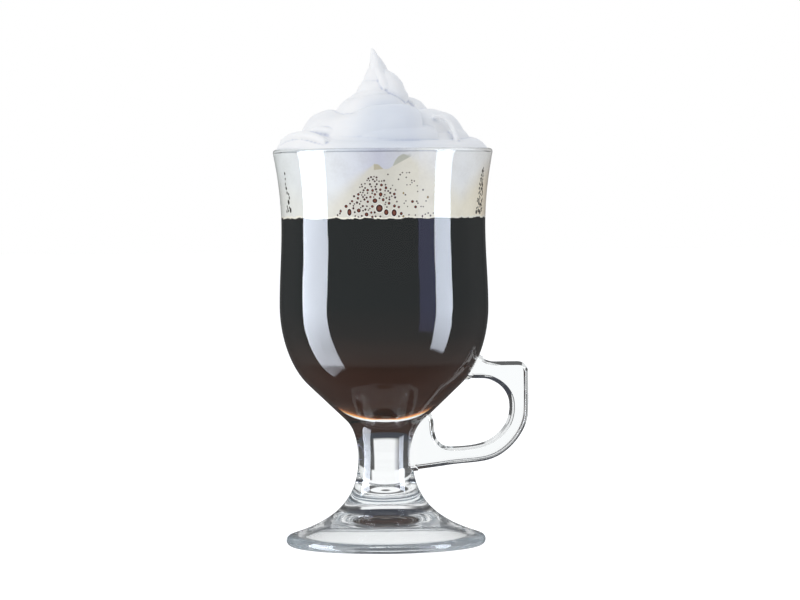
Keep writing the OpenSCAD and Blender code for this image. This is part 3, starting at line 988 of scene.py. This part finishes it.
def bore_at(sizes, at, height):
    """The inside radius and the lean of the wall at a height above the waist."""
    start = Vector((sizes.bore_radius + sizes.bore_draft, at.waist_z))
    end = Vector((at.rim_radius - 2 * sizes.lip_radius, at.lip_middle.y))
    reach = (end - start).length
    after, before = start + UP * reach * WAIST_SHARES[0], end - at.rim_way * reach * WAIST_SHARES[1]
    low, high = 0.0, 1.0
    for _ in range(BORE_HALVINGS):
        part = (low + high) / 2
        rest = 1 - part
        spot = start * rest**3 + after * 3 * rest**2 * part + before * 3 * rest * part**2 + end * part**3
        low, high = (part, high) if spot.y < height else (low, part)
    lean = (after - start) * rest**2 + (before - after) * 2 * rest * part + (end - before) * part**2
    return spot.x, math.atan2(lean.x, lean.y)


class IC_OT_froth(bpy.types.Operator):
    """Floats the milk froth on the coffee, with the bubbles that cling to the glass"""

    bl_idname = "irish_coffee.froth"
    bl_label = "Milk froth"

    def execute(self, context):
        sizes, drink = context.scene.coffee_glass, context.scene.coffee_drink
        at = Joints(sizes)
        low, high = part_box("milk_froth")
        looks = milk_froth(low.z, context.scene.coffee_studio.turn)
        froth = wetted_fill("froth_fill", sizes, drink, at, low.z, high.z)
        froth.data.materials.append(looks)
        finish_piece(froth, "drink", "milk_froth", "milk_froth")
        turned_to_camera(froth, context)
        sunk = wetted_fill("sunk_cream", sizes, drink, at, high.z, at.rim_z)
        sunk.data.materials.append(looks)
        finish_piece(sunk, "drink", "whipped_cream", "cream_bed")
        turned_to_camera(sunk, context)
        bubbles = self.model_bubbles(sizes, drink, at, low.z)
        finish_piece(bubbles, "drink", "milk_froth", "milk_froth")
        turned_to_camera(bubbles, context)
        return {"FINISHED"}

    def places(self):
        """Places of all bubbles, each as (bearing, height on the wall, width, height)."""
        chance = random.Random(BUBBLE_SEED)
        kept = list(FRONT_BUBBLES)
        for middle, spread, lowest, highest, smallest, largest, taller, count in BUBBLE_FANS:
            for _ in range(count * BUBBLE_TRIES):
                up = chance.random() ** LOW_CROWD
                height = lowest + (highest - lowest) * up
                bearing = middle + chance.uniform(-1, 1) * spread * (1 - up) ** FAN_CLOSING
                size = chance.random() ** LARGE_RARE
                width = smallest + (largest - smallest) * size * (1 - SMALLER_UP * up)
                near = 0
                for other, level, wide, tall in kept:
                    gap = math.hypot(math.radians(bearing - other) * BUBBLE_RADIUS, height - level)
                    near = max(near, (width + max(wide, tall)) * BUBBLE_SPACE - gap)
                if near <= 0:
                    kept.append((bearing, height, width, width * chance.uniform(1, taller)))
                    count -= 1
                if count == 0:
                    break
        return kept

    def model_bubbles(self, sizes, drink, at, low):
        """Copies one flat bubble to all places, leaning with the wall, and joins them."""
        bpy.ops.object.select_all(action="DESELECT")
        upright = {"fill_type": "TRIFAN", "rotation": (math.pi / 2, 0, 0)}
        bpy.ops.mesh.primitive_circle_add(vertices=BUBBLE_SIDES, radius=1, **upright)
        first = bpy.context.object
        bpy.ops.object.transform_apply()
        bpy.ops.object.mode_set(mode="EDIT")
        bpy.ops.mesh.extrude_region_move(TRANSFORM_OT_translate={"value": (0, BUBBLE_DEPTH * MM, 0)})
        bpy.ops.mesh.select_all(action="SELECT")
        bpy.ops.mesh.normals_make_consistent(inside=False)
        bpy.ops.object.mode_set(mode="OBJECT")
        brown = bubble_in_froth("bubble_in_froth", (0.22, 0.065, 0.04))
        dark = bubble_in_froth("small_bubble", (0.07, 0.02, 0.014))
        olive = bubble_in_froth("olive_bubble", (0.42, 0.34, 0.14), (0.3, 0.2, 0.08))
        speck = bubble_in_froth("speck", (0.02, 0.015, 0.012), (0.02, 0.015, 0.012), (0.12, 0.1, 0.08))
        made = []
        for bearing, up, wide, tall in self.places():
            radius, lean = bore_at(sizes, at, low + up * MM)
            radius += drink.wetting * BUBBLE_PROUD
            around = math.radians(bearing)
            bubble = copy_of(first, "bubble")
            bubble.location = (radius * math.sin(around), -radius * math.cos(around), low + up * MM)
            bubble.rotation_euler = (lean, 0, around)
            bubble.scale = (wide / 2 / BUBBLE_DARK_SHARE * MM, 1, tall / 2 / BUBBLE_DARK_SHARE * MM)
            if SPECKS_FROM < abs(bearing) < SPECKS_TO:
                kind = speck
            elif bearing > OLIVE_FROM and OLIVE_LEAST < wide < OLIVE_MOST:
                kind = olive
            else:
                kind = brown if wide > DARK_BUBBLE else dark
            bubble.data.materials.append(kind)
            made.append(bubble)
        remove(first)
        pick(*made)
        bpy.ops.object.transform_apply()
        bpy.ops.object.join()
        bubbles = bpy.context.object
        bubbles.name = bubbles.data.name = "froth_bubbles"
        return bubbles


def turned_to_camera(piece, context):
    """Turns a piece of the drink about the glass's axis by the camera's turn."""
    piece.rotation_euler.z = -context.scene.coffee_studio.turn
    pick(piece)
    bpy.ops.object.transform_apply()


# The mound under the folds, from its tip down to its flat underside: (radius, height) in millimetres
MOUND = (
    (0, 168), (3.4, 166), (6, 163.5), (8.5, 160.5), (11, 158), (14, 156), (19.5, 153.6), (23.5, 151.6),
    (27, 148.6), (30, 146), (32.5, 144), (34, 142), (34, 139.5), (0, 139.5),
)
# Sections of the folds, outward and up, as shares of the fold's size. The last number sharpens a corner.
FOLD_SECTION = (
    (1, -0.12, 0.2), (0.5, 0.36, 1), (-0.4, 0.48, 1), (-1, 0, 1), (-0.4, -0.42, 1), (0.45, -0.36, 1),
)
SOFT_SECTION = ((1, 0, 1), (0, 0.8, 1), (-1, 0, 1), (0, -0.8, 1))
PEAK_SECTION = (
    (1.1, 0, 0.6), (0.55, 0.62, 1), (-0.42, 0.95, 0.6), (-0.9, 0.12, 1), (-0.7, -0.78, 0.6), (0.35, -0.72, 1),
)
# Folds that lie round the mound. Each place is (bearing from the camera's side round by the right,
# radius, height, size, degrees that the outer edge droops).
FOLDS = {
    "skirt": (
        (-180, 31.6, 143.4, 5.2, 6), (-140, 31.9, 143.8, 5.6, 8), (-110, 32.0, 144.0, 6.0, 8),
        (-88, 31.8, 144.6, 6.4, 10), (-66, 31.2, 145.0, 6.8, 14), (-52, 30.6, 144.6, 6.4, 16),
        (-38, 30.6, 143.2, 5.4, 10), (-20, 31.2, 142.6, 4.9, 4), (0, 31.4, 142.6, 4.7, 4),
        (25, 31.4, 142.6, 4.7, 4), (50, 31.4, 142.8, 4.8, 4), (70, 31.8, 143.2, 5.0, 6),
        (95, 32.2, 143.6, 5.8, 8), (130, 31.8, 143.2, 5.4, 8), (180, 31.6, 143.4, 5.2, 6),
    ),
    "low_tier": (
        (-180, 23.2, 149.8, 8.0, 36), (-150, 22.6, 150.8, 8.2, 38), (-120, 23.0, 150.2, 8.4, 36),
        (-92, 23.2, 150.5, 8.6, 38), (-72, 22.8, 149.4, 8.8, 36), (-50, 22.0, 148.4, 9.4, 30),
        (-30, 22.6, 149.0, 9.0, 36), (-12, 24.4, 151.0, 7.6, 50), (8, 25.2, 152.0, 7.0, 56),
        (22, 25.2, 151.9, 7.0, 56), (30, 24.9, 151.3, 6.8, 52),
    ),
    "band_foot": (
        (-55, 24.0, 146.6, 3.2, 40), (-25, 26.0, 147.6, 3.7, 40), (4, 27.4, 148.2, 4.2, 40),
        (20, 27.6, 148.2, 4.3, 40), (32, 27.6, 147.8, 4.3, 38), (41, 27.6, 147.2, 4.0, 34),
    ),
    "right_tier": (
        (53, 22.6, 149.4, 7.6, 44), (62, 22.8, 149.6, 8.2, 42), (70, 23.2, 150.0, 8.4, 40),
        (92, 23.4, 150.2, 8.6, 34), (130, 22.8, 150.4, 8.0, 38), (180, 23.2, 149.8, 8.0, 36),
    ),
    "recess": (
        (24, 23.0, 150.4, 7.2, 48), (42, 23.0, 150.4, 7.4, 46), (62, 22.6, 150.2, 7.4, 44),
    ),
    "shoulder": (
        (-275, 9, 153.0, 5.0, 30), (-230, 11.6, 155.0, 6.4, 28), (-170, 12.4, 156.0, 7.0, 25),
        (-125, 12.0, 157.4, 7.0, 25), (-90, 11.4, 157.7, 6.6, 25), (-62, 12.5, 156.5, 6.8, 25),
        (-40, 11.9, 157.2, 6.6, 24), (-20, 10.8, 158.2, 6.4, 22), (0, 9.9, 158.6, 6.4, 22),
        (25, 9.8, 157.8, 6.0, 20), (50, 9, 156.6, 4.6, 20), (75, 8, 156, 3, 20),
    ),
    "ledge": (
        (-250, 7.4, 157.4, 4.6, 25), (-200, 8.6, 158.6, 5.2, 25), (-150, 9, 159.6, 5.4, 25),
        (-105, 9, 160.2, 5.4, 25), (-75, 9.0, 159.9, 5.2, 25), (-45, 8.2, 160.6, 5.0, 25),
        (-22, 7.4, 161.4, 4.8, 24), (5, 6.2, 161.8, 4.0, 20), (30, 5.0, 161.6, 3.0, 16),
    ),
    "collar": (
        (-215, 4.6, 161.4, 4.0, 30), (-165, 5.4, 162.8, 4.6, 30), (-120, 6.0, 164.0, 4.8, 30),
        (-80, 5.9, 164.2, 4.7, 30), (-40, 5.2, 164.4, 4.4, 30), (-12, 4.2, 165.0, 3.8, 26),
        (15, 3.0, 165.4, 2.8, 20),
    ),
    "back_fold": (
        (78, 10.5, 157.2, 4.4, 32), (100, 12.4, 157.0, 6.0, 34), (125, 14, 156.0, 7.0, 32),
        (155, 15, 154.8, 7.0, 30), (190, 14, 153.8, 5.5, 28),
    ),
    "right_lobe": (
        (48, 17, 151.6, 4.6, 22), (68, 18.4, 152.8, 6.0, 20), (88, 19.0, 153.0, 6.8, 18),
        (108, 19.4, 152.2, 6.4, 20), (128, 18, 151.4, 5.0, 24),
    ),
    "right_crest": (
        (58, 27.4, 147.0, 3.8, 24), (74, 27.6, 147.4, 4.4, 24), (90, 27.6, 147.6, 4.6, 24),
        (104, 27.4, 146.8, 4.4, 24), (120, 27.0, 146.0, 3.8, 24),
    ),
}
# Soft ridges that run down over the tiers: places of (across, height, radius round the axis, thickness)
RIDGES = {
    "flap": (
        (17.6, 153.6, 26.4, 0.7), (20.6, 153.6, 27.8, 0.9), (23.4, 152.0, 29.6, 1.1),
        (25.4, 148.8, 31.2, 1.2), (26.6, 145.2, 32.6, 1.2),
    ),
    "hem": (
        (-19.5, 144.6, 33.0, 1.6), (-22.6, 146.0, 32.6, 2.2), (-26.6, 147.0, 32.6, 2.5),
        (-31.4, 146.6, 34.0, 2.3), (-35.2, 144.8, 36.0, 1.8),
    ),
    "left_wave": (
        (-17, 148.2, 26.6, 1.6), (-20.5, 149.0, 27.6, 2.2), (-24.4, 148.6, 28.8, 2.3),
        (-27.8, 147.0, 30.4, 2.0),
    ),
}
# The peak's middle line and size: (across, depth, height, size, twist in degrees)
PEAK = (
    (-0.6, 0.5, 155, 11.4, -60), (-0.9, 0.5, 158.5, 9.8, -45), (-1.2, 0.3, 162, 8.0, -25),
    (-1.3, 0.1, 165, 6.4, -5), (-1.4, -0.1, 168, 5.1, 18), (-1.7, -0.3, 171, 3.8, 40),
    (-2.1, -0.3, 173.6, 2.6, 62), (-2.8, -0.2, 176.2, 1.2, 80), (-3.6, 0, 178.9, 0.25, 95),
)
# Soft lobes of the peak: (across, depth, height, thickness, 0)
PEAK_LOBES = {
    "right_lobe_of_peak": (
        (-0.8, -0.8, 172.6, 0.8, 0), (0.6, -1.6, 170.0, 2.0, 0), (2.3, -2.4, 167.2, 4.0, 0),
        (3.6, -2.8, 164.4, 5.2, 0), (4.2, -2.6, 161.4, 5.8, 0), (4.6, -2.0, 159.6, 5.4, 0),
    ),
    "curl": (
        (-3.0, -0.8, 175.6, 0.6, 0), (-1.8, -2.2, 172.6, 1.1, 0), (-0.6, -3.9, 169.4, 1.5, 0),
        (0.8, -5.7, 166.2, 1.9, 0), (1.8, -7.0, 163.8, 1.3, 0),
    ),
}
# Steps round the mound, degrees between places along a fold, and steps along a strand, round a section
# and along the peak
MOUND_STEPS = 96
FOLD_STEP = 9
STRAND_STEPS, SECTION_STEPS, PEAK_STEPS = 4, 5, 10
# The grid on which the folds run together into one skin, and the soft dents in that skin
CREAM_VOXEL = 0.4 * MM
DENT_WIDTH = 11 * MM
DENT_DEPTH = 0.8 * MM


def bezier_strand(name, places, closed=False):
    """A curve object through places of (x, y, z, size, roll), rounded by itself."""
    bpy.ops.object.select_all(action="DESELECT")
    bpy.ops.curve.primitive_bezier_curve_add()
    strand = bpy.context.object
    strand.name = name
    spline = strand.data.splines[0]
    spline.bezier_points.add(len(places) - 2)
    for point, (x, y, z, size, roll) in zip(spline.bezier_points, places):
        point.co = (x, y, z)
        point.radius = size
        point.tilt = math.radians(roll)
        point.handle_left_type = point.handle_right_type = "AUTO"
    spline.use_cyclic_u = closed
    strand.data.resolution_u = STRAND_STEPS
    return strand


def section_curve(name, corners):
    """A closed flat curve for sweeping, from corners of (out, up, roundness)."""
    section = bezier_strand(name, [(out, up, 0, 1, 0) for out, up, _ in corners], closed=True)
    section.data.dimensions = "2D"
    section.data.fill_mode = "NONE"
    section.data.resolution_u = SECTION_STEPS
    for point, (_, _, roundness) in zip(section.data.splines[0].bezier_points, corners):
        if roundness < 1:
            left, right = point.handle_left.copy(), point.handle_right.copy()
            point.handle_left_type = point.handle_right_type = "ALIGNED"
            point.handle_left = point.co.lerp(left, roundness)
            point.handle_right = point.co.lerp(right, roundness)
    return section


def between_rows(rows, place):
    """A row at a place between given rows, rounded through its neighbours."""
    for index in range(len(rows) - 1):
        if place <= rows[index + 1][0] or index == len(rows) - 2:
            break
    before, first, second, after = [rows[min(max(index + step, 0), len(rows) - 1)] for step in (-1, 0, 1, 2)]
    part = (place - first[0]) / (second[0] - first[0])
    made = []
    for a, b, c, d in zip(before, first, second, after):
        bend = 2 * a - 5 * b + 4 * c - d + part * (3 * (b - c) + d - a)
        made.append(b + 0.5 * part * (c - a + part * bend))
    return made


def in_metres(rows):
    return [(x * MM, y * MM, z * MM, size * MM, roll) for x, y, z, size, roll in rows]


def fold_places(rows):
    """Places along a fold, from rows of (bearing, radius, height, size, roll)."""
    first, last = rows[0][0], rows[-1][0]
    count = max(2, round((last - first) / FOLD_STEP))
    places = []
    for index in range(count + 1):
        bearing = first + (last - first) * index / count
        _, radius, height, size, roll = between_rows(rows, bearing)
        around = math.radians(bearing)
        across, depth = radius * MM * math.sin(around), -radius * MM * math.cos(around)
        places.append((across, depth, height * MM, size * MM, roll))
    return places


def sweep(strand, section):
    """Sweeps a section along a strand into a closed mesh."""
    strand.data.twist_mode = "Z_UP"
    strand.data.bevel_mode = "OBJECT"
    strand.data.bevel_object = section
    strand.data.use_fill_caps = True
    pick(strand)
    bpy.ops.object.convert(target="MESH")
    return bpy.context.object


class IC_OT_cream(bpy.types.Operator):
    """Heaps the whipped cream on the froth"""

    bl_idname = "irish_coffee.cream"
    bl_label = "Whipped cream"

    def execute(self, context):
        sections = (
            section_curve("fold_section", FOLD_SECTION),
            section_curve("soft_section", SOFT_SECTION),
            section_curve("peak_section", PEAK_SECTION),
        )
        fold, soft, twisted = sections
        outline = Outline(Vector(MOUND[0]) * MM)
        for place in MOUND[1:]:
            outline.line(Vector(place) * MM)
        parts = [turn_round(outline.draw("mound", steps=3), MOUND_STEPS)]
        for name, rows in FOLDS.items():
            parts.append(sweep(bezier_strand(name, fold_places(rows)), fold))
        for name, rows in PEAK_LOBES.items():
            parts.append(sweep(bezier_strand(name, in_metres(rows)), soft))
        for name, rows in RIDGES.items():
            places = []
            for across, height, radius, size in rows:
                depth = -math.sqrt(max(0, radius * radius - across * across))
                places.append((across, depth, height, size, 0))
            parts.append(sweep(bezier_strand(name, in_metres(places)), soft))
        peak = bezier_strand("peak", in_metres(PEAK))
        peak.data.resolution_u = PEAK_STEPS
        parts.append(sweep(peak, twisted))
        remove(*sections)
        pick(*parts)
        bpy.ops.object.join()
        cream = bpy.context.object
        cream.name = cream.data.name = "whipped_cream"
        apply_modifier(cream, "REMESH", mode="VOXEL", voxel_size=CREAM_VOXEL, adaptivity=0)
        apply_modifier(cream, "SMOOTH", factor=0.4, iterations=1)
        clouds = bpy.data.textures.new("cream_folds", "CLOUDS")
        clouds.noise_scale = DENT_WIDTH
        clouds.noise_depth = 1
        dents = {"strength": DENT_DEPTH, "mid_level": 0.5, "texture_coords": "LOCAL"}
        apply_modifier(cream, "DISPLACE", texture=clouds, **dents)
        pick(cream)
        bpy.ops.object.shade_smooth()
        cream.data.materials.clear()
        cream.data.materials.append(whipped_cream(context.scene.coffee_studio.turn))
        finish_piece(cream, "drink", "whipped_cream", "cream_bed", "cream_swirl", "cream_peak")
        turned_to_camera(cream, context)
        return {"FINISHED"}


# What clear glass shows through it, by the bearing in degrees of the ray that leaves it, from the
# back (0) round by the right: first near the level, then lower, then low. Each is (bearing, brightness).
LEVEL_ROUND = (
    (-180, 1), (-161, 1), (-158, 0.06), (-134, 0.06), (-132, 0.5), (-112, 0.5), (-109, 1), (-70, 0.9),
    (-50, 0.75), (-47, 0.06), (-22, 0.08), (-20, 0.3), (-15, 0.7), (-12.5, 1), (15.5, 1), (17, 0.06),
    (69, 0.05), (71, 1), (109, 1), (112, 0.5), (132, 0.5), (134, 0.06), (158, 0.06), (161, 1), (180, 1),
)
LOWER_ROUND = (
    (-180, 0.3), (-156, 0.3), (-150, 0.8), (-118, 0.8), (-113, 0.2), (-92, 0.2), (-88, 0.9), (-72, 0.9),
    (-69, 0.08), (-35, 0.08), (-32, 1), (20, 1), (22, 0.12), (37, 0.12), (39, 0.85), (98, 0.9),
    (101, 0.2), (107, 0.2), (112, 1), (160, 1), (168, 0.3), (180, 0.3),
)
LOW_ROUND = (
    (-180, 0.75), (-156, 0.75), (-150, 1), (-113, 1), (-111, 0.4), (-104, 0.4), (-102, 1), (48, 1), (50, 0.5),
    (55, 0.5), (57, 1), (98, 1), (101, 0.4), (107, 0.4), (109, 1), (160, 1), (168, 0.75), (180, 0.75),
)
# The same straight below, by elevation: (degrees, brightness)
STEEP_DOWN = (
    (-90, 0.15), (-84, 0.15), (-82, 1), (-67, 1), (-65, 0.12), (-53, 0.12), (-51, 0.9), (-40, 0.9),
)
# From the first elevation on to the second, the level field passes into the lower one, that one into
# the low one, that one into the steep one, and the level field upward into the dim ceiling
LOWER_BELOW, LOW_BELOW, STEEP_BELOW, DIM_ABOVE = (-12, -14), (-25, -28), (-42, -46), (11, 17)
DIM_CEILING = (0.05, 0.055, 0.07, 1)
# How much brighter the lit table is than the white behind the glass, and where it begins
TABLE_GLOW = 1.05
TABLE_BELOW = (-12, -18)
# Plain light and dark that the glass mirrors, by bearing from the camera's side (0) round by the right
MIRRORED_ROUND = (
    (-180, 0.1), (-150, 0.1), (-134, 0.2), (-115, 0.34), (-104, 0.39), (-80, 0.5), (-60, 0.55),
    (60, 0.55), (80, 0.5), (104, 0.39), (115, 0.34), (134, 0.2), (150, 0.1), (180, 0.1),
)
MIRRORED_BELOW, MIRRORED_TABLE = (-25, -80), (0.25, 0.25, 0.25, 1)
# Tall soft boxes that the glass mirrors: (bearing from, to, lowest, highest elevation, colour, brightness)
SOFT_BOXES = (
    (-101.5, -64.8, -50, 34, (0.83, 0.89, 1.0), 16.2),
    (59.6, 81.2, -32, 34, (0.8, 0.87, 1.0), 15.5),
    (40, 59, -20, 34, (0.42, 0.42, 1.0), 1.1),
)
# How soft their sides and ends are in degrees, and how they fade downward: from, to, and to what share
BOX_BLUR, BOX_END_BLUR = 0.8, 2
BOX_FADE_FROM, BOX_FADE_TO, BOX_LEAST = -4, -30, 0.6
# The soft light on the drink, from the left of the camera round to its right
SOFT_SIDES = ((-1, (1.0, 1.0, 1.0)), (0, (0.76, 0.79, 0.84)), (1, (0.88, 0.9, 0.93)))
# How often light may bend and bounce, so that the thick glass stays clear
BOUNCES = {"max_bounces": 24, "transmission_bounces": 20, "transparent_max_bounces": 24, "glossy_bounces": 8}
FLOOR_SIZE = 12
# The lamps: name, place, size, power and colour, and the place that they shine at
LAMPS = (
    ("key_lamp", (-0.8, -0.75, 0.65), 0.6, 3.6, (1, 0.99, 0.97)),
    ("back_lamp", (0.5, 0.9, 0.8), 0.5, 2.4, (0.97, 0.98, 1)),
)
LAMPS_AIM = (0, 0, 0.12)


class IC_OT_studio(bpy.types.Operator):
    """Sets the camera, the lamps and the floor"""

    bl_idname = "irish_coffee.studio"
    bl_label = "Studio"

    def execute(self, context):
        studio = context.scene.coffee_studio
        self.camera(context, studio)
        self.world(context, studio)
        self.floor(studio)
        self.lamps()
        scene = context.scene
        scene.view_settings.view_transform = "Standard"
        for key, value in BOUNCES.items():
            setattr(scene.cycles, key, value)
        scene.cycles.caustics_reflective = False
        return {"FINISHED"}

    def camera(self, context, studio):
        bpy.ops.object.select_all(action="DESELECT")
        turn = -studio.turn
        aside = Vector((math.cos(turn), math.sin(turn), 0)) * studio.side_aim
        away = Vector((math.sin(turn), -math.cos(turn), 0)) * studio.distance
        bpy.ops.object.camera_add(location=aside + away + Vector((0, 0, studio.height)))
        camera = context.object
        camera.name = "camera"
        tilt = math.atan2(studio.aim_height - studio.height, studio.distance)
        camera.rotation_euler = (math.pi / 2 + tilt, studio.roll, turn)
        camera.data.lens = studio.lens
        camera.data.sensor_width = 36
        camera.data.clip_start, camera.data.clip_end = 0.05, 50
        context.scene.camera = camera

    def world(self, context, studio):
        """White for the camera, panels of light and dark for clear glass, soft light for the rest."""
        world = bpy.data.worlds.new("studio")
        context.scene.world = world
        world.use_nodes = True
        tree = world.node_tree
        tree.nodes.clear()
        output = tree.nodes.new("ShaderNodeOutputWorld")
        way = tree.nodes.new("ShaderNodeTexCoord").outputs["Generated"]
        facing = {"Vector": way, "Angle": studio.turn}
        turned = wired(tree, "ShaderNodeVectorRotate", facing, rotation_type="Z_AXIS")
        parts = wired(tree, "ShaderNodeSeparateXYZ", {0: turned.outputs[0]})
        behind = maths(tree, "DEGREES", maths(tree, "ARCTAN2", parts.outputs["X"], parts.outputs["Y"]))
        before = bearing_of(tree, parts, 0)
        rise = maths(tree, "DEGREES", maths(tree, "ARCSINE", parts.outputs["Z"]))

        through = by_bearing(tree, behind, LEVEL_ROUND)
        lower, low = by_bearing(tree, behind, LOWER_ROUND), by_bearing(tree, behind, LOW_ROUND)
        through = blended(tree, step_up(tree, rise, *LOWER_BELOW), through, lower)
        through = blended(tree, step_up(tree, rise, *LOW_BELOW), through, low)
        through = blended(tree, step_up(tree, rise, *DIM_ABOVE), through, DIM_CEILING)
        steep = graded(tree, rise, STEEP_DOWN[0][0], STEEP_DOWN[-1][0], STEEP_DOWN)
        through = blended(tree, step_up(tree, rise, *STEEP_BELOW), through, steep)
        glow = maths(tree, "MULTIPLY_ADD", step_up(tree, rise, *TABLE_BELOW), TABLE_GLOW - 1, 1)
        seen_through = wired(tree, "ShaderNodeBackground", {"Color": through, "Strength": glow}).outputs[0]

        plain = by_bearing(tree, before, MIRRORED_ROUND)
        plain = blended(tree, step_up(tree, rise, *MIRRORED_BELOW), plain, MIRRORED_TABLE)
        mirrored = wired(tree, "ShaderNodeBackground", {"Color": plain, "Strength": 1}).outputs[0]
        fading = share_of_way(tree, rise, BOX_FADE_TO, BOX_FADE_FROM)
        fading = maths(tree, "MULTIPLY_ADD", fading, 1 - BOX_LEAST, BOX_LEAST)
        for bearing_from, bearing_to, lowest, highest, tint, brightness in SOFT_BOXES:
            round_it = window(tree, before, bearing_from, bearing_to, BOX_BLUR)
            up_it = window(tree, rise, lowest, highest, BOX_END_BLUR)
            shape = maths(tree, "MULTIPLY", round_it, up_it)
            shape = maths(tree, "MULTIPLY", shape, maths(tree, "MULTIPLY", fading, brightness))
            box = wired(tree, "ShaderNodeBackground", {"Color": (*tint, 1), "Strength": shape})
            mirrored = wired(tree, "ShaderNodeAddShader", {0: mirrored, 1: box.outputs[0]}).outputs[0]

        soft = graded(tree, parts.outputs["X"], -1, 1, SOFT_SIDES)
        shown = wired(tree, "ShaderNodeBackground", {"Color": soft, "Strength": studio.sky}).outputs[0]
        white = wired(tree, "ShaderNodeBackground", {"Color": WHITE, "Strength": 1}).outputs[0]
        path = tree.nodes.new("ShaderNodeLightPath")
        sharp = path.outputs["Is Singular Ray"]
        for share_seen, shader in (
            (maths(tree, "MULTIPLY", sharp, path.outputs["Is Reflection Ray"]), mirrored),
            (maths(tree, "MULTIPLY", sharp, path.outputs["Is Transmission Ray"]), seen_through),
            (path.outputs["Is Camera Ray"], white),
        ):
            shown = mixed(tree, share_seen, shown, shader)
        tree.links.new(shown, output.inputs["Surface"])

    def floor(self, studio):
        """A pale floor that takes the glass's shadow, brought to white for the camera."""
        bpy.ops.object.select_all(action="DESELECT")
        bpy.ops.mesh.primitive_plane_add(size=FLOOR_SIZE)
        floor = bpy.context.object
        floor.name = "floor"
        material, tree, output = blank_material("white_floor")
        plain = wired(tree, "ShaderNodeBsdfDiffuse", {"Color": (0.8, 0.8, 0.8, 1)})
        path = tree.nodes.new("ShaderNodeLightPath")
        glow = maths(tree, "MULTIPLY", path.outputs["Is Camera Ray"], studio.floor_glow)
        white = wired(tree, "ShaderNodeEmission", {"Color": WHITE, "Strength": glow})
        both = wired(tree, "ShaderNodeAddShader", {0: plain.outputs[0], 1: white.outputs[0]})
        tree.links.new(both.outputs[0], output.inputs["Surface"])
        floor.data.materials.append(material)
        floor.visible_glossy = floor.visible_transmission = False

    def lamps(self):
        """Soft lamps at both sides and above."""
        for name, place, size, power, tint in LAMPS:
            bpy.ops.object.select_all(action="DESELECT")
            bpy.ops.object.light_add(type="AREA", location=place)
            lamp = bpy.context.object
            lamp.name = name
            lamp.data.size = size
            lamp.data.energy = power
            lamp.data.color = tint
            way = Vector(LAMPS_AIM) - Vector(place)
            lamp.rotation_euler = way.to_track_quat("-Z", "Y").to_euler()
            lamp.visible_camera = lamp.visible_glossy = lamp.visible_transmission = False


class IC_PT_panel(bpy.types.Panel):
    """Lists the sizes and the steps that make the glass"""

    bl_idname = "IC_PT_panel"
    bl_label = "Irish coffee"
    bl_space_type = "VIEW_3D"
    bl_region_type = "UI"
    bl_category = "Irish coffee"

    def draw(self, context):
        layout = self.layout
        for group in GROUPS:
            settings = getattr(context.scene, group)
            box = layout.box()
            for key in settings.__annotations__:
                box.prop(settings, key)
        for step in STEPS:
            layout.operator(step.bl_idname)


GROUPS = {
    "coffee_glass": GlassSizes,
    "coffee_handle": HandleSizes,
    "coffee_drink": DrinkSizes,
    "coffee_studio": StudioSizes,
}
STEPS = (IC_OT_studio, IC_OT_glass, IC_OT_coffee, IC_OT_froth, IC_OT_cream)
CLASSES = (*GROUPS.values(), *STEPS, IC_PT_panel)


def register():
    for part in CLASSES:
        bpy.utils.register_class(part)
    for name, group in GROUPS.items():
        setattr(bpy.types.Scene, name, PointerProperty(type=group))


def unregister():
    for name in GROUPS:
        delattr(bpy.types.Scene, name)
    for part in reversed(CLASSES):
        bpy.utils.unregister_class(part)


def main():
    register()
    for step in STEPS:
        area, name = step.bl_idname.split(".")
        getattr(getattr(bpy.ops, area), name)()


if __name__ == "__main__":
    main()
